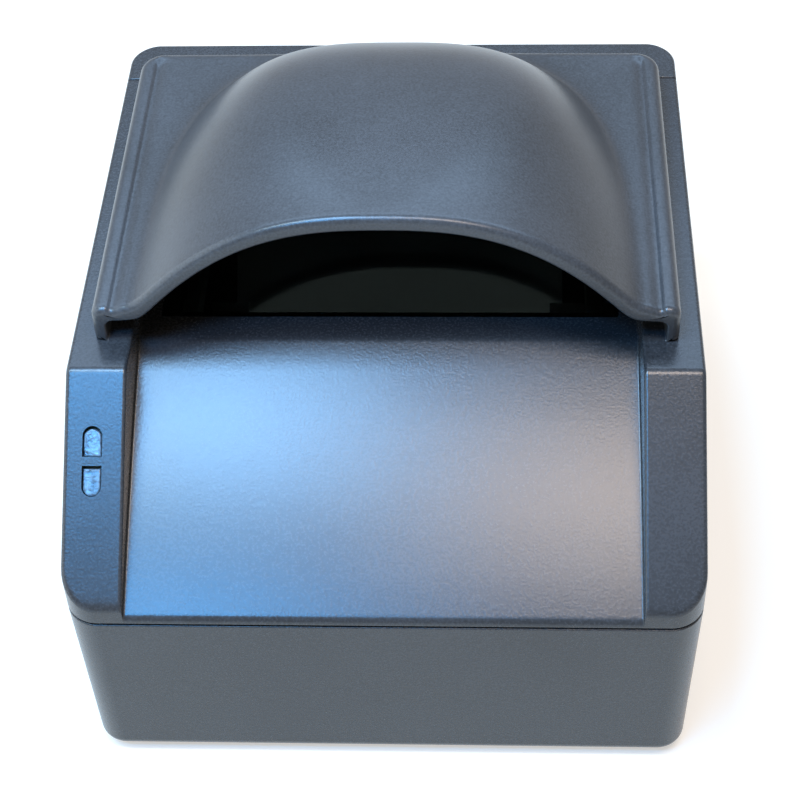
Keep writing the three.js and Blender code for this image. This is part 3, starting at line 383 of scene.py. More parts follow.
# %% [markdown]
# ## Top cover
# The real cover is one moulding with two arms that fold down at a kink, and a channel between them
# whose floor slopes up and bends level. It could be a box with the channel cut out, but a cut gives
# a dead flat floor. The real one is crowned by about a millimetre, which spreads the window's
# reflection over it. So two height rules say all of it, one for the arms and one for the floor,
# and the moulded radii are added where a face meets its neighbour.

# %% Height rules of the top cover
KINK_RADIUS = 3.6
RIM_RADIUS = 1.3
ARM_EDGE_RADIUS = 1.0
FILLET_RADIUS = 0.6
SEAM_RADIUS = 0.4


def arm_height(y, wall=0.0):
    """Height of the arms, level at the rear and falling in front of the kink."""
    level = Z_PLATE - wall
    slope = Z_PLATE - (Y_KINK - y) * ARM_SLOPE - wall / math.cos(ARM_ANGLE)
    fold = Y_KINK + wall * math.tan(ARM_ANGLE / 2)
    tangent = KINK_RADIUS * math.tan(ARM_ANGLE / 2)
    if y > fold + tangent:
        return level
    if y < fold - tangent * math.cos(ARM_ANGLE):
        return slope
    return level - KINK_RADIUS + math.sqrt(KINK_RADIUS**2 - (fold + tangent - y) ** 2)


def floor_height(y, wall=0.0):
    """Height of the channel floor, summed from its slopes, or of its underside, a wall lower."""
    drop = slope = 0.0
    for (start, before), (end, after) in zip(FLOOR_SLOPES, FLOOR_SLOPES[1:]):
        if y < start:
            reach = max(y, end)
            slope = before + (after - before) * (start - reach) / (start - end)
            drop += (start - reach) * (before + slope) / 2
    return Z_FLOOR - drop - wall * math.hypot(1, slope)


def cover_height(half, end, wall, edge_radius, foot_radius):
    """Height rule of the whole cover; the tags say on which side of a wall a point lies."""

    def height(x, y, column_tag, row_tag):
        beside, beyond = abs(x) - half, y - end
        if column_tag == "floor" and row_tag == "channel":
            return floor_height(y, wall) + drop_at(min(-beside, -beyond), foot_radius)
        away = math.hypot(max(0.0, beside), max(0.0, beyond))
        return arm_height(y, wall) - drop_at(away, edge_radius)

    return height


print("front of the arms", round(arm_height(Y_FRONT), 2), "floor", round(floor_height(Y_FRONT), 2))

# %% Rows and columns of the top cover
CORNER_TURNS = [0, 9, 18, 27, 36, 45, 54, 60, 65, 70, 75, 79, 83, 86.5, 90]
INSIDE_RIM = 2.0
COLUMN_X = 40.0
BEHIND_CHANNEL = [80.5, 79.5]
OPENING_PITCH = 16
Y_COVER_OPEN = Y_REAR_SEAM - SEAM_HALF
# Start, end and pitch of the sections: wide apart where the cover is plain, close at its folds
CHANNEL_BANDS = [
    (OPENING_REAR, OPENING_FRONT, OPENING_PITCH),
    (-24, -26.6, 4),
    (Y_BEND_TOP, -29.5, 0.35),
    (-31, Y_KINK + 2, 3),
    (Y_KINK + 1.75, Y_KINK - 2.25, 0.25),
]
FRONT_BAND_START, FRONT_BAND_PITCH, FRONT_BAND_GAP = -54, 6, 3


def corner_ts(length, corner):
    """Places of the sections through the round corners."""
    return [length - corner + corner * math.sin(math.radians(turn)) for turn in CORNER_TURNS]


def cover_columns(half, edge_radius, foot_radius):
    """Columns from the outer wall over the arm and down to the middle of the channel floor."""
    columns = [("edge", d, "arm") for d in near_edge(RIM_RADIUS, RIM_STEPS) + [INSIDE_RIM]]
    columns += [("fixed", half + d, "arm") for d in near_edge(edge_radius, EDGE_STEPS)[::-1]]
    columns += [("fixed", half - d, "floor") for d in near_edge(foot_radius, FILLET_STEPS)]
    columns += [("fixed", x, "floor") for x in (OPENING_HALF, COLUMN_X, 0.0)]
    return columns


def cover_rows(face_y, corner, end, edge_radius, foot_radius):
    """Sections from the open rear end to the front; the tags say where the channel begins."""
    behind = BEHIND_CHANNEL + [end + d for d in near_edge(edge_radius, EDGE_STEPS)[::-1]]
    channel = [end - d for d in near_edge(foot_radius, FILLET_STEPS)]
    front_band = (FRONT_BAND_START, face_y + corner + FRONT_BAND_GAP, FRONT_BAND_PITCH)
    for start, stop, pitch in CHANNEL_BANDS + [front_band]:
        channel += spread(start, stop, pitch)
    rows = [(Y_COVER_OPEN - y, "behind") for y in behind]
    rows += [(Y_COVER_OPEN - y, "channel") for y in channel]
    return rows + [(t, "channel") for t in corner_ts(Y_COVER_OPEN - face_y, corner)]


# %% Build the top cover
INSIDE_RADIUS = 0.3
INSIDE_SEAM_RADIUS = 0.1
Z_COVER_RIM = Z_SEAM + SEAM_HALF
Z_UNDER_OPENING = 90
inner_half = CHANNEL_HALF + CHANNEL_WALL
inner_end = Y_CHANNEL_END + CHANNEL_WALL
outer_height = cover_height(CHANNEL_HALF, Y_CHANNEL_END, 0.0, ARM_EDGE_RADIUS, FILLET_RADIUS)
inner_height = cover_height(inner_half, inner_end, WALL, INSIDE_RADIUS, INSIDE_RADIUS)
cover_outer = Face(
    y_open=Y_COVER_OPEN, y_closed=Y_FRONT, half=HALF_WIDTH, corner=CORNER_RADIUS,
    height=outer_height, edge_radius=RIM_RADIUS, base=Z_COVER_RIM, foot_radius=SEAM_RADIUS,
    columns=cover_columns(CHANNEL_HALF, ARM_EDGE_RADIUS, FILLET_RADIUS),
)
cover_inner = Face(
    y_open=Y_COVER_OPEN, y_closed=Y_FRONT + WALL, half=HALF_WIDTH - WALL,
    corner=CORNER_RADIUS - WALL, height=inner_height, edge_radius=INSIDE_RADIUS,
    base=Z_COVER_RIM, foot_radius=INSIDE_SEAM_RADIUS,
    columns=cover_columns(inner_half, INSIDE_RADIUS, INSIDE_RADIUS),
)


def in_opening(middle):
    """Picks out the faces of the channel floor that lie over the glass."""
    inside = abs(middle[0]) < OPENING_HALF and OPENING_FRONT < middle[1] < OPENING_REAR
    return inside and middle[2] > Z_UNDER_OPENING


def opening_walls(skin):
    """Walls round the opening, from the floor's upper face to its underside."""
    ys = spread(OPENING_REAR, OPENING_FRONT, OPENING_PITCH)
    xs = [-OPENING_HALF, -COLUMN_X, 0.0, COLUMN_X, OPENING_HALF]
    sides = [[(side * OPENING_HALF, y) for y in ys] for side in (-1, 1)]
    ends = [[(x, y) for x in xs] for y in (OPENING_FRONT, OPENING_REAR)]
    for line in sides + ends:
        upper = [(x, y, outer_height(x, y, "floor", "channel")) for x, y in line]
        lower = [(x, y, inner_height(x, y, "floor", "channel")) for x, y in line]
        skin.patch([upper, lower])


top_cover = shell(
    "Top_cover_shell", cover_outer, cover_inner,
    cover_rows(Y_FRONT, CORNER_RADIUS, Y_CHANNEL_END, ARM_EDGE_RADIUS, FILLET_RADIUS),
    cover_rows(Y_FRONT + WALL, CORNER_RADIUS - WALL, inner_end, INSIDE_RADIUS, INSIDE_RADIUS),
    (SEAM_RADIUS, INSIDE_SEAM_RADIUS), in_opening, opening_walls,
)

# %% [markdown]
# ## Windows and slots
# The two status windows in the left arm are one long slot with a bridge across its middle, so each
# keeps one round end. The hood's tabs drop into four slots in the plate. All of them could be left
# open in the sections above. They are cut with solids made from flat outlines instead, because a
# hole's outline is what a maker would measure.

# %% Solids from rings and outlines
RING_WELD = 0.001


def loft(name, rings):
    """A closed solid through rings of as many points each."""
    bm = bmesh.new()
    made_rings = [[bm.verts.new([v * MM for v in point]) for point in ring] for ring in rings]
    count = len(rings[0])
    for lower, upper in zip(made_rings, made_rings[1:]):
        for i in range(count):
            j = (i + 1) % count
            bm.faces.new((lower[i], lower[j], upper[j], upper[i]))
    bm.faces.new(made_rings[0][::-1])
    bm.faces.new(made_rings[-1])
    bmesh.ops.remove_doubles(bm, verts=bm.verts, dist=RING_WELD * MM)
    bmesh.ops.recalc_face_normals(bm, faces=bm.faces)
    return made(bm, name)


def prism(name, outline, low, high, matrix=Matrix()):
    """A solid that fills an outline between two heights, placed by a matrix in millimetres."""
    return loft(name, [[matrix @ Vector((x, y, z)) for x, y in outline] for z in (low, high)])


def round_rectangle(x, y, width, depth, radius, steps=6):
    """Outline of a rectangle with round corners about a middle."""
    points = []
    for k, (sx, sy) in enumerate(((1, 1), (-1, 1), (-1, -1), (1, -1))):
        for i in range(steps + 1):
            turn = math.pi / 2 * (k + i / steps)
            px = x + sx * (width / 2 - radius) + radius * math.cos(turn)
            py = y + sy * (depth / 2 - radius) + radius * math.sin(turn)
            points.append((px, py))
    return points


def disc(x, y, radius, steps=32):
    """Outline of a circle about a middle."""
    turns = [2 * math.pi * i / steps for i in range(steps)]
    return [(x + radius * math.cos(t), y + radius * math.sin(t)) for t in turns]


# %% Cut the windows and the slots
LIGHT_X = -HALF_WIDTH + 8
LIGHT_MIDDLE = -25.7
LIGHT_SPAN = 19.6
LIGHT_WIDTH = 5.5
LIGHT_BRIDGE = 2.5
WINDOW_CUT = (-8, 4)
HOOD_WALL = 3.6
TAB_X = hood_high[0] - HOOD_WALL / 2
TAB_YS = (hood_low[1] + 19.75, hood_high[1] - 19.25)
TAB_LENGTH = 9.0
TAB_WALL = 1.8
TAB_GAP = 0.6
SLOT_RADIUS = 0.5
SLOT_CUT = (Z_PLATE - 8, Z_PLATE + 3)
on_arm = Matrix.Translation((0, Y_KINK, Z_PLATE)) @ Matrix.Rotation(ARM_ANGLE, 4, "X")


def window_outline(half, side_gap=0.0, rear_gap=0.0, front_gap=0.0, steps=20):
    """A window, flat at the bridge and round at its far end; half is 1 above it and -1 below."""
    radius = LIGHT_WIDTH / 2 - side_gap
    far_gap, near_gap = (rear_gap, front_gap) if half > 0 else (front_gap, rear_gap)
    centre = LIGHT_MIDDLE + half * (LIGHT_SPAN / 2 - far_gap - radius)
    near = LIGHT_MIDDLE + half * (LIGHT_BRIDGE / 2 + near_gap)
    turns = [math.pi * i / steps for i in range(steps + 1)]
    points = [(LIGHT_X + radius * math.cos(t), centre + half * radius * math.sin(t)) for t in turns]
    points += [(LIGHT_X - radius, near), (LIGHT_X + radius, near)]
    return points if half > 0 else points[::-1]


cuts = [prism("Window_cut", window_outline(half), *WINDOW_CUT, on_arm) for half in (-1, 1)]
for side in (-1, 1):
    for y in TAB_YS:
        outline = round_rectangle(
            side * TAB_X, y, TAB_WALL + TAB_GAP, TAB_LENGTH + TAB_GAP, SLOT_RADIUS
        )
        cuts.append(prism("Slot_cut", outline, *SLOT_CUT))
combine(top_cover, cuts, "DIFFERENCE")

# %% [markdown]
# ## Rear cover
# The case ends in a plain moulding behind a fine seam. It could be one with the top cover and have
# a groove, but the real one comes off, so it is a shell of its own. It has the same rim radius as
# the top cover so that the highlight runs on across the seam. Two screws from behind hold it.

# %% Build the rear cover
REAR_SCREW_X = HALF_WIDTH - 28.25
REAR_SCREW_Z = Z_PLATE - 7.3
REAR_SCREWS = [(side * REAR_SCREW_X, REAR_SCREW_Z) for side in (-1, 1)]
HEAD_SINK_RADIUS = 2.9
HEAD_SINK_CUT = (-2.2, 2)
REAR_INSIDE_RADIUS = 0.5
REAR_FIRST_ROWS = (2.0, 5.0)


def rear_columns():
    """Columns from the wall to the middle."""
    columns = [("edge", d, "") for d in near_edge(RIM_RADIUS, RIM_STEPS) + [INSIDE_RIM]]
    return columns + [("span", share, "") for share in (1.0, 0.5, 0.0)]


def rear_rows(length, corner):
    """Sections from the seam to the rear."""
    return [(t, "") for t in [*REAR_FIRST_ROWS, *corner_ts(length, corner)]]


depth = Y_REAR - Y_REAR_SEAM
rear_outer = Face(
    y_open=Y_REAR_SEAM, y_closed=Y_REAR, half=HALF_WIDTH, corner=CORNER_RADIUS,
    height=lambda x, y, column_tag, row_tag: Z_PLATE, edge_radius=RIM_RADIUS,
    base=Z_COVER_RIM, foot_radius=SEAM_RADIUS, columns=rear_columns(),
)
rear_inner = Face(
    y_open=Y_REAR_SEAM, y_closed=Y_REAR - WALL, half=HALF_WIDTH - WALL,
    corner=CORNER_RADIUS - WALL, height=lambda x, y, column_tag, row_tag: Z_PLATE - WALL,
    edge_radius=REAR_INSIDE_RADIUS, base=Z_COVER_RIM, foot_radius=INSIDE_SEAM_RADIUS,
    columns=rear_columns(),
)
rear_cover = shell(
    "Rear_cover_shell", rear_outer, rear_inner, rear_rows(depth, CORNER_RADIUS),
    rear_rows(depth - WALL, CORNER_RADIUS - WALL), (SEAM_RADIUS, INSIDE_SEAM_RADIUS),
)
facing_back = Matrix.Translation((0, Y_REAR, 0)) @ Matrix.Rotation(-math.pi / 2, 4, "X")
cuts = []
for x, z in REAR_SCREWS:
    cuts.append(prism("Head_cut", disc(x, -z, HEAD_SINK_RADIUS), *HEAD_SINK_CUT, facing_back))
combine(rear_cover, cuts, "DIFFERENCE")

# %% [markdown]
# ## Lower housing
# The tub tapers down by one and a half degrees so that it leaves its mould, and turns under with a
# soft edge. A box with a bevel would need a second one for the inside and would still lack the
# tongue that closes the seam. So it is lofted through rings, from the outer bottom over the rim
# and down the inside. Feet, vents and sockets are cut into it.

# %% Rings of the tub
DRAFT_DEGREES = 1.5
SMALLEST_CORNER = 0.6
PLAN_STEPS = 12


def plan_ring(inset, z):
    """The case's outline in plan, drawn in by an inset, at a height."""
    half_x, half_y = HALF_WIDTH - inset, Y_REAR - inset
    radius = max(CORNER_RADIUS - inset, SMALLEST_CORNER)
    points = round_rectangle(0, 0, 2 * half_x, 2 * half_y, radius, PLAN_STEPS)
    return [(x, y, z) for x, y in points]


def draft(z):
    """How far the tapered wall has drawn in at a height."""
    return (Z_SEAM - z) * math.tan(math.radians(DRAFT_DEGREES))


# %% Build the tub
TUB_EDGE = 4.0
TUB_EDGE_STEPS = 8
BOTTOM_INSET = 30
Z_HALFWAY = 30
Z_TUB_TOP = Z_SEAM - SEAM_HALF
TONGUE_IN = WALL + SEAT_GAP
TONGUE_WALL = 1.2
TONGUE_HIGH = 3.0
Z_TONGUE = Z_SEAM + TONGUE_HIGH
Z_TONGUE_ROOT = Z_TUB_TOP - TONGUE_HIGH
# Height and extra inset of the inside, from under the tongue to the floor
TUB_INSIDE = ((Z_TONGUE_ROOT - 2, 0.0), (6.0, 0.0), (4.9, 0.5), (Z_BOTTOM + WALL, 1.5))
rings = [plan_ring(BOTTOM_INSET, Z_BOTTOM)]
for i in range(TUB_EDGE_STEPS + 1):
    turn = math.pi / 2 * i / TUB_EDGE_STEPS
    z = Z_BOTTOM + TUB_EDGE * (1 - math.cos(turn))
    rings.append(plan_ring(draft(z) + TUB_EDGE * (1 - math.sin(turn)), z))
rings.append(plan_ring(draft(Z_HALFWAY), Z_HALFWAY))
for distance, drop in arc(SEAM_RADIUS, FILLET_STEPS)[::-1]:
    rings.append(plan_ring(draft(Z_TUB_TOP) + distance, Z_TUB_TOP - drop))
rings.append(plan_ring(TONGUE_IN, Z_TUB_TOP))
rings.append(plan_ring(TONGUE_IN, Z_TONGUE))
rings.append(plan_ring(TONGUE_IN + TONGUE_WALL, Z_TONGUE))
rings.append(plan_ring(TONGUE_IN + TONGUE_WALL, Z_TONGUE_ROOT))
for z, inset in TUB_INSIDE:
    rings.append(plan_ring(WALL + draft(z) + inset, z))
tub = loft("Lower_housing_shell", rings)

# %% Sizes of the bosses, feet, vents and sockets
FOOT_X, FOOT_Y = HALF_WIDTH - 20, Y_REAR - 20
FOOT_PLACES = [(sx * FOOT_X, sy * FOOT_Y) for sx in (-1, 1) for sy in (-1, 1)]
FOOT_SINK_RADIUS = 7.3
CASE_SCREW_X = HALF_WIDTH - 8.6
CASE_SCREW_YS = (Y_FRONT + 14, Y_REAR_SEAM - 8.6)
CASE_SCREWS = [(side * CASE_SCREW_X, y) for side in (-1, 1) for y in CASE_SCREW_YS]
BOSS_RADIUS = 5.2
BOSS_SPAN = (Z_BOTTOM + 1.2, 20)
BORE_RADIUS = 3.3
BORE_SPAN = (Z_BOTTOM - 3, 12)
VENT_COUNT = 7
VENT_PITCH = 7.0
VENT_Y = -34
VENT_LENGTH = 34
VENT_WIDTH = 2.6
VENT_RADIUS = 1.2
SOCKET_GAP = 0.6
SOCKET_RADIUS = 0.7
SOCKET_CUT = (-8, 3)
BELOW_TUB = -1
print("case screws", [tuple(round(v, 2) for v in place) for place in CASE_SCREWS])

# %% Bosses, feet, vents and sockets of the tub
posts = [prism("Boss", disc(x, y, BOSS_RADIUS), *BOSS_SPAN) for x, y in CASE_SCREWS]
combine(tub, posts, "UNION")
cuts = [prism("Bore", disc(x, y, BORE_RADIUS), *BORE_SPAN) for x, y in CASE_SCREWS]
for x, y in FOOT_PLACES:
    cuts.append(prism("Foot_cut", disc(x, y, FOOT_SINK_RADIUS, 48), BELOW_TUB, Z_BOTTOM + 1.3))
for i in range(VENT_COUNT):
    x = (i - VENT_COUNT // 2) * VENT_PITCH
    outline = round_rectangle(x, VENT_Y, VENT_WIDTH, VENT_LENGTH, VENT_RADIUS)
    cuts.append(prism("Vent_cut", outline, BELOW_TUB, Z_BOTTOM + WALL + 2))
for node in ("usb_socket", "power_socket"):
    low, high = box_mm(node)
    x, z = (low[0] + high[0]) / 2, (low[2] + high[2]) / 2
    wide, tall = high[0] - low[0] + SOCKET_GAP, high[2] - low[2] + SOCKET_GAP
    outline = round_rectangle(x, -z, wide, tall, SOCKET_RADIUS)
    cuts.append(prism("Socket_cut", outline, *SOCKET_CUT, facing_back))

# %% Clear the tub's rim where the channel floor dips in
TROUGH_START = Y_FRONT + 2.5
TROUGH_END = Y_FRONT + 9
TROUGH_WALL = 2.8
TROUGH_HALF = CHANNEL_HALF + 2.5
Z_TROUGH = Z_TUB_TOP + 0.02
Z_ABOVE = 90
BEFORE_FRONT = Y_FRONT - 2
# This turns an outline drawn in y and z upright and sweeps it along x
standing = Matrix(((0, 0, 1, 0), (1, 0, 0, 0), (0, 1, 0, 0), (0, 0, 0, 1)))
under = [(BEFORE_FRONT, Z_TROUGH), (TROUGH_START, Z_TROUGH)]
under += [(TROUGH_END, floor_height(TROUGH_END, TROUGH_WALL)), (TROUGH_END, Z_ABOVE)]
under += [(BEFORE_FRONT, Z_ABOVE)]
cuts.append(prism("Trough_cut", under, -TROUGH_HALF, TROUGH_HALF, standing))
combine(tub, cuts, "DIFFERENCE")

# %% [markdown]
# ## Light hood
# The hood keeps room light off the glass. It is one thin moulding with a flat flange, a shallow
# crease along both sides and a dome that is highest over the front lip. It could be modelled by
# eye, but one height formula gives the whole top, as in the drawing, and the underside follows it
# a skin thickness lower. Along the lip the skin is thicker underneath, which stiffens the arch.

# %% Sizes of the hood
HOOD_HALF = hood_high[0]
HOOD_FRONT = hood_low[1]
HOOD_REAR = hood_high[1]
HOOD_BASE = Z_PLATE + SEAT_GAP
HOOD_CORNER = 7.5
HOOD_EDGE = 3.0
HOOD_INSIDE_EDGE = 2.4
HOOD_FOOT_RADIUS = 0.5
HOOD_SKIN = 3.1
FLANGE = 11.7
DOME_RISE = 33.25
DOME_SAG = 0.36
DOME_HALF = HOOD_HALF - 11.9
DOME_LENGTH = HOOD_REAR - HOOD_FRONT - 2.2
DOME_FILLET = 1.6
DOME_INSET = 2.0
PLAN_POWER = 3.1
SIDE_POWER = 2.6
REAR_POWER = 7.5
NEARLY_ZERO = 1e-9
CREASE_INSET = 5.6
CREASE_DEPTH = 0.9
CREASE_INWARDS = 2.2
CREASE_OUTWARDS = 0.8
CREASE_FADE = 3
LIP_THICKER = 1.3
LIP_DEPTH = 5.0
LIP_FULL_SHARE = 0.4
LIP_RADII = (2.0, 0.6)
print("hood", [round(b - a, 2) for a, b in zip(hood_low, hood_high)])


# %% Height rule of the hood
def dome_height(x, y, inset=0.0):
    """Height of the dome and the flange above the plate; the inset is for its underside."""
    along = max(0.0, y - HOOD_FRONT) / (DOME_LENGTH - inset)
    rear = along**PLAN_POWER
    total = max((abs(x) / (DOME_HALF - inset)) ** PLAN_POWER + rear, NEARLY_ZERO)
    power = SIDE_POWER + (REAR_POWER - SIDE_POWER) * rear / total
    crown = DOME_RISE * (1 - DOME_SAG * along * along)
    rise = crown * (1 - total ** (power / PLAN_POWER))
    return FLANGE + (rise + math.hypot(rise, 2 * DOME_FILLET)) / 2


def crease(x, y):
    """Depth of the crease: steep beside the border roll and running out gently inwards."""
    inside = HOOD_HALF - abs(x) - CREASE_INSET
    width = CREASE_INWARDS if inside > 0 else CREASE_OUTWARDS
    fade = min(1.0, max(0.0, (HOOD_REAR - CREASE_FADE - y) / CREASE_FADE))
    return CREASE_DEPTH * fade * math.exp(-((inside / width) ** 2))


def hood_top(x, y, column_tag, row_tag):
    """The top of the hood, with its creases."""
    return Z_PLATE + dome_height(x, y) - crease(x, y)


def hood_under(x, y, column_tag, row_tag):
    """The underside, thicker along the front lip."""
    share = min(1.0, max(0.0, (y - HOOD_FRONT) / LIP_DEPTH - LIP_FULL_SHARE))
    thicker = LIP_THICKER * (1 - share * share * (3 - 2 * share))
    return Z_PLATE + dome_height(x, y, DOME_INSET) - HOOD_SKIN - thicker


print("top of the dome", round(hood_top(0, HOOD_FRONT, "", ""), 2))

# %% Build the hood
HOOD_EDGE_STEPS = 8
HOOD_PITCH = 0.9
# Start, end and pitch of the columns: beside the wall in millimetres, then in shares of the width
BESIDE_WALL = (3.25, 10.0, 0.25)
OVER_DOME = (0.99, 0.0, 0.012)
TAB_RADIUS = 0.3
TAB_SPAN = (Z_PLATE - 5, HOOD_BASE + 1.8)


def hood_columns(edge_radius):
    """Columns from the side wall over the crease to the middle of the dome."""
    columns = [("edge", d, "") for d in near_edge(edge_radius, HOOD_EDGE_STEPS)]
    columns += [("edge", d, "") for d in spread(*BESIDE_WALL)]
    return columns + [("span", share, "") for share in spread(*OVER_DOME)]


def hood_rows(face_end, corner):
    """Sections from the front lip to the rear."""
    length = face_end - HOOD_FRONT
    ts = spread(LIP_RADII[0], length - corner - HOOD_PITCH, HOOD_PITCH)
    return [(t, "") for t in ts + corner_ts(length, corner)]


hood_outer = Face(
    y_open=HOOD_FRONT, y_closed=HOOD_REAR, half=HOOD_HALF, corner=HOOD_CORNER, height=hood_top,
    edge_radius=HOOD_EDGE, base=HOOD_BASE, foot_radius=HOOD_FOOT_RADIUS,
    columns=hood_columns(HOOD_EDGE),
)
hood_inner = Face(
    y_open=HOOD_FRONT, y_closed=HOOD_REAR - HOOD_WALL, half=HOOD_HALF - HOOD_WALL,
    corner=HOOD_CORNER - HOOD_WALL, height=hood_under, edge_radius=HOOD_INSIDE_EDGE,
    base=HOOD_BASE, foot_radius=INSIDE_RADIUS, columns=hood_columns(HOOD_INSIDE_EDGE),
)
hood = shell(
    "Light_hood_shell", hood_outer, hood_inner, hood_rows(HOOD_REAR, HOOD_CORNER),
    hood_rows(HOOD_REAR - HOOD_WALL, HOOD_CORNER - HOOD_WALL), LIP_RADII,
)
tabs = []
for side in (-1, 1):
    for y in TAB_YS:
        outline = round_rectangle(side * TAB_X, y, TAB_WALL, TAB_LENGTH, TAB_RADIUS)
        tabs.append(prism("Tab", outline, *TAB_SPAN))
combine(hood, tabs, "UNION")

# %% [markdown]
# ## Turned and small pieces
# Feet and screw heads are round. They could be cylinders with bevels, but one profile turned about
# its axis gives every step and hollow. The cross in a screw head is cut as a real recess.
# The status lenses are cut from the same outline as their windows, with a gap all round, so that
# they sit in the arm as the real light guides do.

# %% Turned solids
HEAD_CHAMFER = 0.2
HEAD_BAND = 0.45
HEAD_STEPS = 8
CROSS_WIDTH = 0.7
CROSS_LENGTH = 1.3
CROSS_CORNER = 0.2
CROSS_FLOOR = 0.35


def turned(name, profile, place, steps=48):
    """A solid turned about z from (radius, height) points in millimetres, then placed."""
    rings = []
    for radius, z in profile:
        rings.append([place @ Vector((x, y, z)) for x, y in disc(0, 0, radius, steps)])
    return loft(name, rings)


def screw_head(name, place, radius, tall):
    """A pan head with a cross recess, its flat underside at height 0."""
    turns = [math.pi / 2 * i / HEAD_STEPS for i in range(HEAD_STEPS)]
    rise = 1 - HEAD_BAND
    dome = [(radius * math.cos(t), tall * (HEAD_BAND + rise * math.sin(t))) for t in turns]
    rim = [(0, 0), (radius - HEAD_CHAMFER, 0), (radius, HEAD_CHAMFER)]
    head = turned(name, rim + dome + [(0, tall)], place, 40)
    reach = radius * CROSS_LENGTH
    arms = []
    for wide, long in ((reach, CROSS_WIDTH), (CROSS_WIDTH, reach)):
        outline = round_rectangle(0, 0, wide, long, CROSS_CORNER, 3)
        arms.append(prism("Cross", outline, tall * CROSS_FLOOR, tall * 2, place))
    return combine(head, arms, "DIFFERENCE")


# %% Feet and screw heads
pieces = []
# Radius and height of the foot's profile, from its sunk top round the rim to the hollow sole
FOOT_PROFILE = [(0, 1.3), (6.6, 1.3), (7.0, 0.9), (7.0, -1.4), (6.8, -1.8), (6.4, -2.0)]
FOOT_PROFILE += [(4.2, -2.0), (3.9, -1.9), (3.7, -1.5), (0, -1.4)]
CASE_HEAD_RADIUS, CASE_HEAD_TALL = 3.0, 2.2
REAR_HEAD_RADIUS, REAR_HEAD_TALL = 2.6, 1.6
CORNER_NAMES = ("front_left", "rear_left", "front_right", "rear_right")
for (x, y), corner in zip(FOOT_PLACES, CORNER_NAMES):
    node = "foot_" + corner
    foot = turned(node.capitalize(), FOOT_PROFILE, Matrix.Translation((x, y, Z_BOTTOM)))
    pieces.append((foot, node, "case", "rubber"))
turned_down = Matrix.Rotation(math.pi, 4, "X")
for (x, y), corner in zip(CASE_SCREWS, CORNER_NAMES):
    node = "case_screw_" + corner
    z = box_mm(node)[0][2] + CASE_HEAD_TALL
    place = Matrix.Translation((x, y, z)) @ turned_down
    head = screw_head(node.capitalize(), place, CASE_HEAD_RADIUS, CASE_HEAD_TALL)
    pieces.append((head, node, "case", "steel"))
for (x, z), side in zip(REAR_SCREWS, ("left", "right")):
    node = "rear_cover_screw_" + side
    y = box_mm(node)[1][1] - REAR_HEAD_TALL - Y_REAR
    place = facing_back @ Matrix.Translation((x, -z, y))
    head = screw_head(node.capitalize(), place, REAR_HEAD_RADIUS, REAR_HEAD_TALL)
    pieces.append((head, node, "case", "steel"))

# %% Status lenses
LENS_FOOT = -3.7
LENS_SINK = 0.5
LENS_RADIUS = 0.5
LENS_GAPS = (0.3, 0.75, 0.1)


def status_lens(name, half):
    """A light guide with a softly rounded top edge, sunk a little and wider open at its rear."""
    rolled_edge = arc(LENS_RADIUS, EDGE_STEPS)[::-1]
    levels = [(0.0, LENS_FOOT)] + [(inset, -LENS_SINK - drop) for inset, drop in rolled_edge]
    rings = []
    for inset, z in levels:
        outline = window_outline(half, *[gap + inset for gap in LENS_GAPS])
        rings.append([on_arm @ Vector((x, y, z)) for x, y in outline])
    return loft(name, rings)


for half, node in ((1, "status_lens_upper"), (-1, "status_lens_lower")):
    pieces.append((status_lens(node.capitalize(), half), node, "case", "clear_plastic"))

# %% Put the new pieces in place of their nodes
pieces += [
    (top_cover, "top_cover", "case", "case_abs"),
    (rear_cover, "rear_cover", "case", "case_abs"),
    (tub, "lower_housing", "case", "case_abs"),
    (hood, "hood", "light_hood", "hood_abs"),
]
for piece, node, body, slot in pieces:
    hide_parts(node)
    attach(piece, body)
print("replaced", len(pieces), "of", len(nodes), "nodes")

# %% [markdown]
# ## Soft edges on the carried-over solids
# The pieces inside the case are seen only through the glass or with the hood lifted off. They could
# be drawn anew as well, but their shapes are right already. So they keep their solids and get a
# small bevel, which gives each edge the fine highlight that a real edge has.

# %% Bevel the carried-over solids
BEVEL_WIDTH, GLASS_BEVEL_WIDTH = 0.15, 0.3
BEVEL_DEGREES = 40
replaced = {node for piece, node, body, slot in pieces}
for name, node in nodes.items():
    if name in replaced:
        continue
    soft = node.modifiers.new("Soft edges", "BEVEL")
    soft.width = (GLASS_BEVEL_WIDTH if name == "document_glass" else BEVEL_WIDTH) * MM
    soft.segments = 2
    soft.limit_method = "ANGLE"
    soft.angle_limit = math.radians(BEVEL_DEGREES)
print("bevelled", len(nodes) - len(replaced))

# %% [markdown]
# ## Finishes
# Every finish starts from what the real piece is made of. Pictures of surfaces could be wrapped
# round the pieces, but they would need unfolding and blur when seen close. So the patterns are
# noise in space. One function turns sRGB hex codes into linear colour and one adds a node with its
# settings and links. Pattern scales are worked out from sizes in millimetres, as the noise works
# in metres here.


# %% Helpers for the finishes
def colour(code):
    """sRGB hex code to linear colour."""
    parts = [int(code[i : i + 2], 16) / 255 for i in (1, 3, 5)]
    linear = [v / 12.92 if v <= 0.04045 else ((v + 0.055) / 1.055) ** 2.4 for v in parts]
    return (*linear, 1.0)


def add(tree, kind, settings=None, values=None, links=None):
    """Adds a node, sets it up and links its inputs."""
    node = tree.nodes.new(kind)
    for key, value in (settings or {}).items():
        setattr(node, key, value)
    for key, value in (values or {}).items():
        node.inputs[key].default_value = value
    for key, source in (links or {}).items():
        tree.links.new(source, node.inputs[key])
    return node


def finish_named(name, values):
    """A new material and its main shader, with the shader's own values set."""
    material = bpy.data.materials.new(name)
    material.use_nodes = True
    tree = material.node_tree
    shader = tree.nodes["Principled BSDF"]
    for key, value in values.items():
        shader.inputs[key].default_value = value
    return material, tree, shader


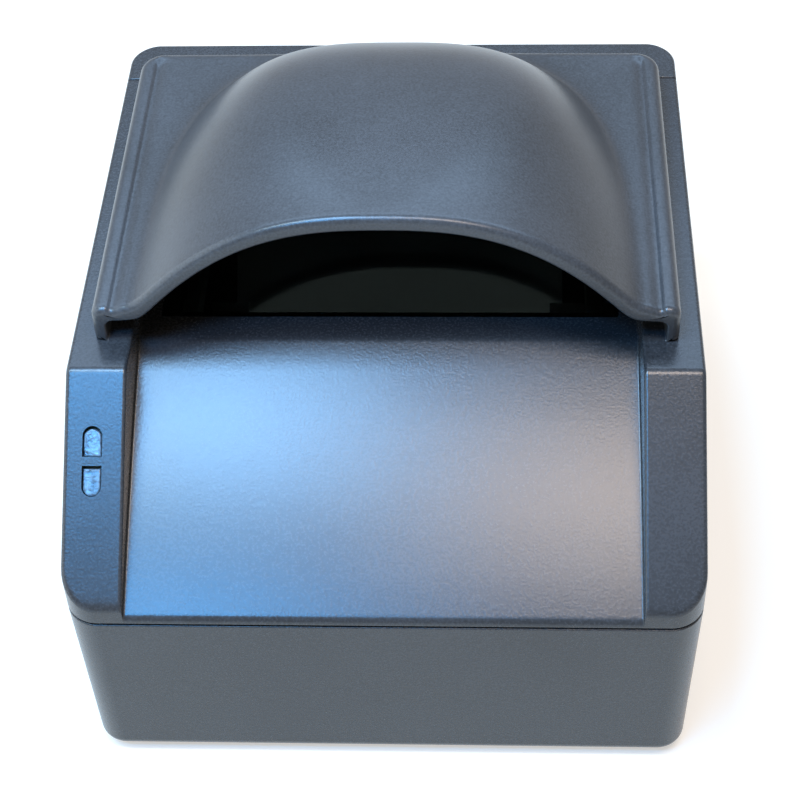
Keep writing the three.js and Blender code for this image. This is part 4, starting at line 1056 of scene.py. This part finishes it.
def per_metre(size_mm):
    """Noise scale for a pattern whose features are this many millimetres apart."""
    return 1 / (size_mm * MM)


def tone_and_relief(tree, shader, pattern, tones, stops, height, strength, depth_mm):
    """Gives a shader its colour, between two tones by a pattern, and its relief by a height."""
    tint = add(tree, "ShaderNodeValToRGB", links={"Fac": pattern})
    for stop, position, code in zip(tint.color_ramp.elements, stops, tones):
        stop.position = position
        stop.color = colour(code)
    bump = {"Strength": strength, "Distance": depth_mm * MM}
    relief = add(tree, "ShaderNodeBump", None, bump, {"Height": height})
    tree.links.new(tint.outputs["Color"], shader.inputs["Base Color"])
    tree.links.new(relief.outputs["Normal"], shader.inputs["Normal"])


print("linear mid grey", round(colour("#808080")[0], 3))

# %% [markdown]
# ## Moulded ABS
# The case, hood and inner parts are injection moulded in spark-eroded tools, which leaves a fine
# even grain. It breaks the reflection up into a satin sheen. A broader, very faint unevenness comes
# from the way that the plastic flowed and from handling. The grain could be one more roughness
# number, but small bumps also make the sheen sparkle as the real one does. The real grain is 0.1
# to 0.3 mm wide, too fine to show here, so it is drawn 0.6 to 0.7 mm wide.

# %% Spark-textured ABS
FLOW_MM = 45
GRAIN_SHARE = 0.6
GLOSS_SPREAD = 0.04
GRAIN_STRENGTH = 0.8
ABS_RAMP = (0.35, 0.65)


def spark_textured_abs(name, dark, light, roughness, grain_mm, depth_mm):
    """Moulded ABS between two close greys, with grain in its colour, gloss and relief."""
    material, tree, shader = finish_named(name, {"IOR": 1.53, "Roughness": roughness})
    place = {"Vector": add(tree, "ShaderNodeTexCoord").outputs["Object"]}
    broad = {"Scale": per_metre(FLOW_MM), "Detail": 3.0}
    fine = {"Scale": per_metre(grain_mm), "Detail": 2.0}
    flow = add(tree, "ShaderNodeTexNoise", None, broad, place).outputs["Fac"]
    grain = add(tree, "ShaderNodeTexNoise", None, fine, place).outputs["Fac"]
    share = {"Factor": GRAIN_SHARE}
    mixed = add(tree, "ShaderNodeMix", {"data_type": "FLOAT"}, share, {"A": flow, "B": grain})
    pattern = mixed.outputs["Result"]
    ends = {"To Min": roughness - GLOSS_SPREAD, "To Max": roughness + GLOSS_SPREAD}
    gloss = add(tree, "ShaderNodeMapRange", None, ends, {"Value": pattern})
    tree.links.new(gloss.outputs["Result"], shader.inputs["Roughness"])
    tones = (dark, light)
    tone_and_relief(tree, shader, pattern, tones, ABS_RAMP, grain, GRAIN_STRENGTH, depth_mm)
    print(name, "grain", grain_mm, "mm")
    return material


case_abs = spark_textured_abs("Case_ABS_spark_textured", "#242628", "#393b3e", 0.27, 0.7, 0.045)
hood_abs = spark_textured_abs("Hood_ABS_spark_textured", "#2d2f31", "#46484b", 0.30, 0.7, 0.045)
inner_abs = spark_textured_abs("Inner_ABS_matt_black", "#101113", "#17181a", 0.62, 0.6, 0.03)

# %% [markdown]
# ## Rubber, cable sleeve and lens barrel
# Moulded nitrile rubber is matt and slightly dusty, so it shows hardly any highlight. Its dust
# lies about 0.8 mm apart. Extruded PVC sleeve has a soft shine that wavers every 1.5 mm. The lens
# barrel is aluminium, turned and anodised black, with a tight dark highlight. Its turned grain is
# under 0.1 mm wide, too fine to show, so it is drawn 0.4 mm wide. Each could have a recipe of its
# own, but all are one tone with fine speckles and a faint relief, so one function makes them.

# %% Speckled finishes
SPECKLE_RAMP = (0.3, 0.7)
SPECKLE_STRENGTH = 0.5


def speckled(name, dark, light, size_mm, depth_mm, values):
    """A finish that wavers between two close tones, with a relief of the same pattern."""
    material, tree, shader = finish_named(name, values)
    place = {"Vector": add(tree, "ShaderNodeTexCoord").outputs["Object"]}
    waver = {"Scale": per_metre(size_mm), "Detail": 4.0}
    speck = add(tree, "ShaderNodeTexNoise", None, waver, place).outputs["Fac"]
    tones = (dark, light)
    tone_and_relief(tree, shader, speck, tones, SPECKLE_RAMP, speck, SPECKLE_STRENGTH, depth_mm)
    print(name, "speckles", size_mm, "mm")
    return material


rubber = speckled(
    "Nitrile_rubber", "#121212", "#1b1b1a", 0.8, 0.03, {"Roughness": 0.78, "IOR": 1.52}
)
sleeve = speckled(
    "PVC_cable_sleeve", "#141415", "#1a1a1b", 1.5, 0.01, {"Roughness": 0.42, "IOR": 1.53}
)
lens_black = speckled(
    "Black_anodised_aluminium", "#0c0c0d", "#121214", 0.4, 0.005, {"Roughness": 0.35}
)

# %% [markdown]
# ## Circuit boards, film and diffusers
# FR4 boards have a printed green solder mask that shines like lacquer over tracks some 2.4 mm
# apart. The camera's flat cable is polyimide film, rolled smooth, amber and glossy, with ripples
# 6 mm long. The diffusers are moulded opal polycarbonate, milky, with clouds 8 mm wide. All are
# hidden inside, so the speckled recipe does for them, where drawn tracks would be lost.

# %% Boards, film and diffusers
board = speckled(
    "FR4_green_solder_mask", "#0f4426", "#1b6a3a", 2.4, 0.01,
    {"Roughness": 0.32, "IOR": 1.55, "Coat Weight": 0.3},
)
film = speckled("Polyimide_film", "#8f4f12", "#b3701f", 6.0, 0.005, {"Roughness": 0.3, "IOR": 1.7})
diffuser = speckled(
    "Opal_polycarbonate", "#e4e6e2", "#f0f1ee", 8.0, 0.005,
    {"Roughness": 0.45, "IOR": 1.585, "Transmission Weight": 0.35},
)

# %% [markdown]
# ## Plated metal
# The screws are steel with bright zinc on it, which looks pale grey, with a shine that clouds over
# every 1.2 mm. The sockets' shells are drawn sheet with nickel on it, warmer and sharper, uneven
# over 3 mm. A metal without these speckles would look like chrome.

# %% Plated metal
steel = speckled(
    "Zinc_plated_steel", "#8f9296", "#b6b8ba", 1.2, 0.006, {"Metallic": 1.0, "Roughness": 0.32}
)
nickel = speckled(
    "Nickel_plated_shell", "#a8a59c", "#bab7ae", 3.0, 0.003, {"Metallic": 1.0, "Roughness": 0.22}
)

# %% [markdown]
# ## Glass, mirror and light guides
# The window is float glass with a dark grey tint in its colour, painted shade that keeps the view
# through it dark under the hood. Wiping left a faint haze in streaks 30 mm wide that softens its
# reflections unevenly. The mirror is silvered on its front face and reflects almost sharply, with
# waves 40 mm long. The light guides are moulded polycarbonate with facets 1.3 mm wide under a
# smooth face, which scatter the light into bright and dark patches. Their colour also wavers from
# dark to pale blue over the same patches, a painted reflection of the cool window with painted
# glints. They could be plain blue, but only a strong relief breaks up the reflection.

# %% Clear finishes
WIPE_MM = 30
WIPE_ROUGHNESS = {"To Min": 0.01, "To Max": 0.05}
# The dark grey base colour is painted shade: it tints everything seen through the glass dark.
glass, glass_tree, glass_shader = finish_named(
    "Float_glass",
    {"Base Color": colour("#6f7573"), "Roughness": 0.02, "IOR": 1.52, "Transmission Weight": 1.0},
)
place = add(glass_tree, "ShaderNodeTexCoord").outputs["Object"]
wipe = add(
    glass_tree, "ShaderNodeTexNoise", None, {"Scale": per_metre(WIPE_MM), "Detail": 2.0},
    {"Vector": place},
)
haze = add(glass_tree, "ShaderNodeMapRange", None, WIPE_ROUGHNESS, {"Value": wipe.outputs["Fac"]})
glass_tree.links.new(haze.outputs["Result"], glass_shader.inputs["Roughness"])
mirror = speckled(
    "Silvered_mirror", "#dfe3e4", "#e6e9ea", 40.0, 0.0005, {"Metallic": 1.0, "Roughness": 0.03}
)
# The blue tones, dark to pale in 1.3 mm patches, are a painted reflection of the cool window with
# painted glints, over a real relief.
guide = speckled(
    "Polycarbonate_light_guide", "#2b3d50", "#93b2c8", 1.3, 0.4,
    {"Roughness": 0.12, "IOR": 1.585, "Transmission Weight": 0.35},
)

# %% Give every piece its finish
FINISHES = {
    "case_abs": case_abs, "hood_abs": hood_abs, "inner_abs": inner_abs, "rubber": rubber,
    "glass": glass, "mirror": mirror, "clear_plastic": guide, "diffuser_plastic": diffuser,
    "circuit_board": board, "lens_black": lens_black, "steel": steel, "socket_steel": nickel,
    "flex_film": film, "cable_sleeve": sleeve,
}
for piece, node, body, slot in pieces:
    piece.data.materials.clear()
    piece.data.materials.append(FINISHES[slot])
unmatched = []
for name, node in nodes.items():
    for holder in node.material_slots:
        key = holder.material.name.split(".")[0] if holder.material else ""
        if key in FINISHES:
            holder.material = FINISHES[key]
        elif name not in replaced:
            unmatched.append((name, key))
print("finishes", len(FINISHES), "unmatched", unmatched)

# %% [markdown]
# ## Floor and surround
# The reader stands on plain pale paper, slightly warm so that it looks white under the cool light.
# A sheet bent up behind could be the backdrop, but it would shade the lamps. So the surround is
# plain and soft, and it is bright only where it is seen, mirrored or looked at through glass.

# %% Floor
FLOOR_METRES = 30.0
FLOOR_GLOW = 0.5


def seen_or_mirrored(tree):
    """1 for what the camera sees, also in a mirror or through glass, and 0 for plain light."""
    path = add(tree, "ShaderNodeLightPath")
    seen = add(
        tree, "ShaderNodeMath", {"operation": "MAXIMUM"},
        links={0: path.outputs["Is Camera Ray"], 1: path.outputs["Is Transmission Ray"]},
    )
    also = add(
        tree, "ShaderNodeMath", {"operation": "MAXIMUM"},
        links={0: seen.outputs[0], 1: path.outputs["Is Glossy Ray"]},
    )
    return also.outputs[0]


bpy.ops.mesh.primitive_plane_add(size=FLOOR_METRES, location=(0, 0, 0))
floor = bpy.context.object
floor.name = "Floor"
paper, paper_tree, paper_shader = finish_named(
    "Pale_paper_floor", {"Base Color": colour("#ccc5b8"), "Roughness": 0.9}
)
glow = add(
    paper_tree, "ShaderNodeMath", {"operation": "MULTIPLY"}, {1: FLOOR_GLOW},
    {0: seen_or_mirrored(paper_tree)},
)
paper_tree.links.new(glow.outputs[0], paper_shader.inputs["Emission Strength"])
paper_shader.inputs["Emission Color"].default_value = (1, 1, 1, 1)
floor.data.materials.append(paper)
floor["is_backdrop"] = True

# %% Surround
WARM_WHITE = (1.0, 0.84, 0.66, 1.0)
SURROUND_STRENGTH = 0.28
BACKDROP_STRENGTH = 0.55
world = bpy.data.worlds.new("Plain_surround")
bpy.context.scene.world = world
world.use_nodes = True
sky = world.node_tree
surround = sky.nodes["Background"]
surround.inputs["Color"].default_value = WARM_WHITE
surround.inputs["Strength"].default_value = SURROUND_STRENGTH
white = {"Color": (1, 1, 1, 1), "Strength": BACKDROP_STRENGTH}
backdrop = add(sky, "ShaderNodeBackground", None, white)
either = add(
    sky, "ShaderNodeMixShader",
    links={0: seen_or_mirrored(sky), 1: surround.outputs[0], 2: backdrop.outputs[0]},
)
sky.links.new(either.outputs[0], sky.nodes["World Output"].inputs["Surface"])
bpy.context.scene.view_settings.view_transform = "Standard"

# %% [markdown]
# ## Camera and light
# The camera looks down at the reader from the front, a little from the right. Its place and lens
# could be set by eye, but they are worked out from the sizes, so the numbers look odd.
# Six plain soft boxes light it. Two hang overhead as a cool window, whose sheen lies along the
# channel and the left arm. A warmer ceiling light stands at the right, and a strip at the left
# draws the line on the hood's lip. A side window and a rear window lift the walls out of the dark.

# %% Camera
IMAGE_PIXELS = 800
SENSOR_MM = 36
FOCAL_PIXELS = 1968.35
CAMERA_MM = (29.41, -428.08, 495.46)
LOOK_DOWN, TURN, ROLL = 0.8064961147, -0.0665772945, -0.0443272343
level = Vector((math.cos(TURN), -math.sin(TURN), 0))
ahead = math.cos(LOOK_DOWN)
away = Vector((math.sin(TURN) * ahead, math.cos(TURN) * ahead, -math.sin(LOOK_DOWN)))
upward = level.cross(away)
right = math.cos(ROLL) * level + math.sin(ROLL) * upward
above = -math.sin(ROLL) * level + math.cos(ROLL) * upward
lens_data = bpy.data.cameras.new("Camera")
lens_data.sensor_width = SENSOR_MM
lens_data.lens = SENSOR_MM * FOCAL_PIXELS / IMAGE_PIXELS
camera = bpy.data.objects.new("Camera", lens_data)
bpy.context.scene.collection.objects.link(camera)
turned_to = Matrix((right, above, -away)).transposed().to_4x4()
camera.matrix_world = Matrix.Translation(Vector(CAMERA_MM) * MM) @ turned_to
bpy.context.scene.camera = camera
print("camera lens", round(lens_data.lens, 2))


# %% Lights
def soft_box(name, place, facing, width, depth, brightness):
    """A soft box at a place in metres; the brightness is given for red, green and blue."""
    data = bpy.data.lights.new(name, "AREA")
    data.shape = "RECTANGLE"
    data.size, data.size_y = width, depth
    peak = max(brightness)
    data.energy = peak * math.pi * width * depth
    data.color = [value / peak for value in brightness]
    lamp = bpy.data.objects.new(name, data)
    bpy.context.scene.collection.objects.link(lamp)
    lamp.location = place
    lamp.rotation_euler = Vector(facing).to_track_quat("Z", "Y").to_euler()
    print(name, "watts", round(data.energy, 2))
    return lamp


soft_box("Window_upper", (-0.17, -0.17, 1.0), (0, 0, 1), 0.2, 0.26, (11.0, 25.0, 45.0))
soft_box("Window_lower", (-0.3, -0.53, 1.0), (0, 0, 1), 0.4, 0.16, (3.0, 17.0, 40.0))
soft_box("Ceiling", (0.19, -0.3, 1.01), (0, 0, 1), 0.4, 0.26, (15.0, 12.4, 10.6))
soft_box("Window_left", (-0.47, -0.2, 1.0), (0, 0, 1), 0.36, 0.12, (20.0, 28.0, 32.0))
soft_box("Side_window", (-1.05, 0.0, 0.5), (-1, 0, 0), 1.5, 1.0, (1.5, 1.7, 1.8))
soft_box("Rear_window", (0.0, 0.75, 1.0), (0, 0, 1), 1.8, 0.5, (1.8, 2.7, 3.9))

# %% [markdown]
# ## Size of the dressed reader
# The dressed reader must be as big as the imported one. Every piece could be measured, but the whole
# boxes show any slip at once, so both are written down.

# %% Print both boxes
shown_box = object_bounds()
boxes = {"cad": [list(corner) for corner in cad_box], "visual": [list(corner) for corner in shown_box]}
for key, (low, high) in boxes.items():
    print(key, [round((b - a) / MM, 2) for a, b in zip(low, high)])
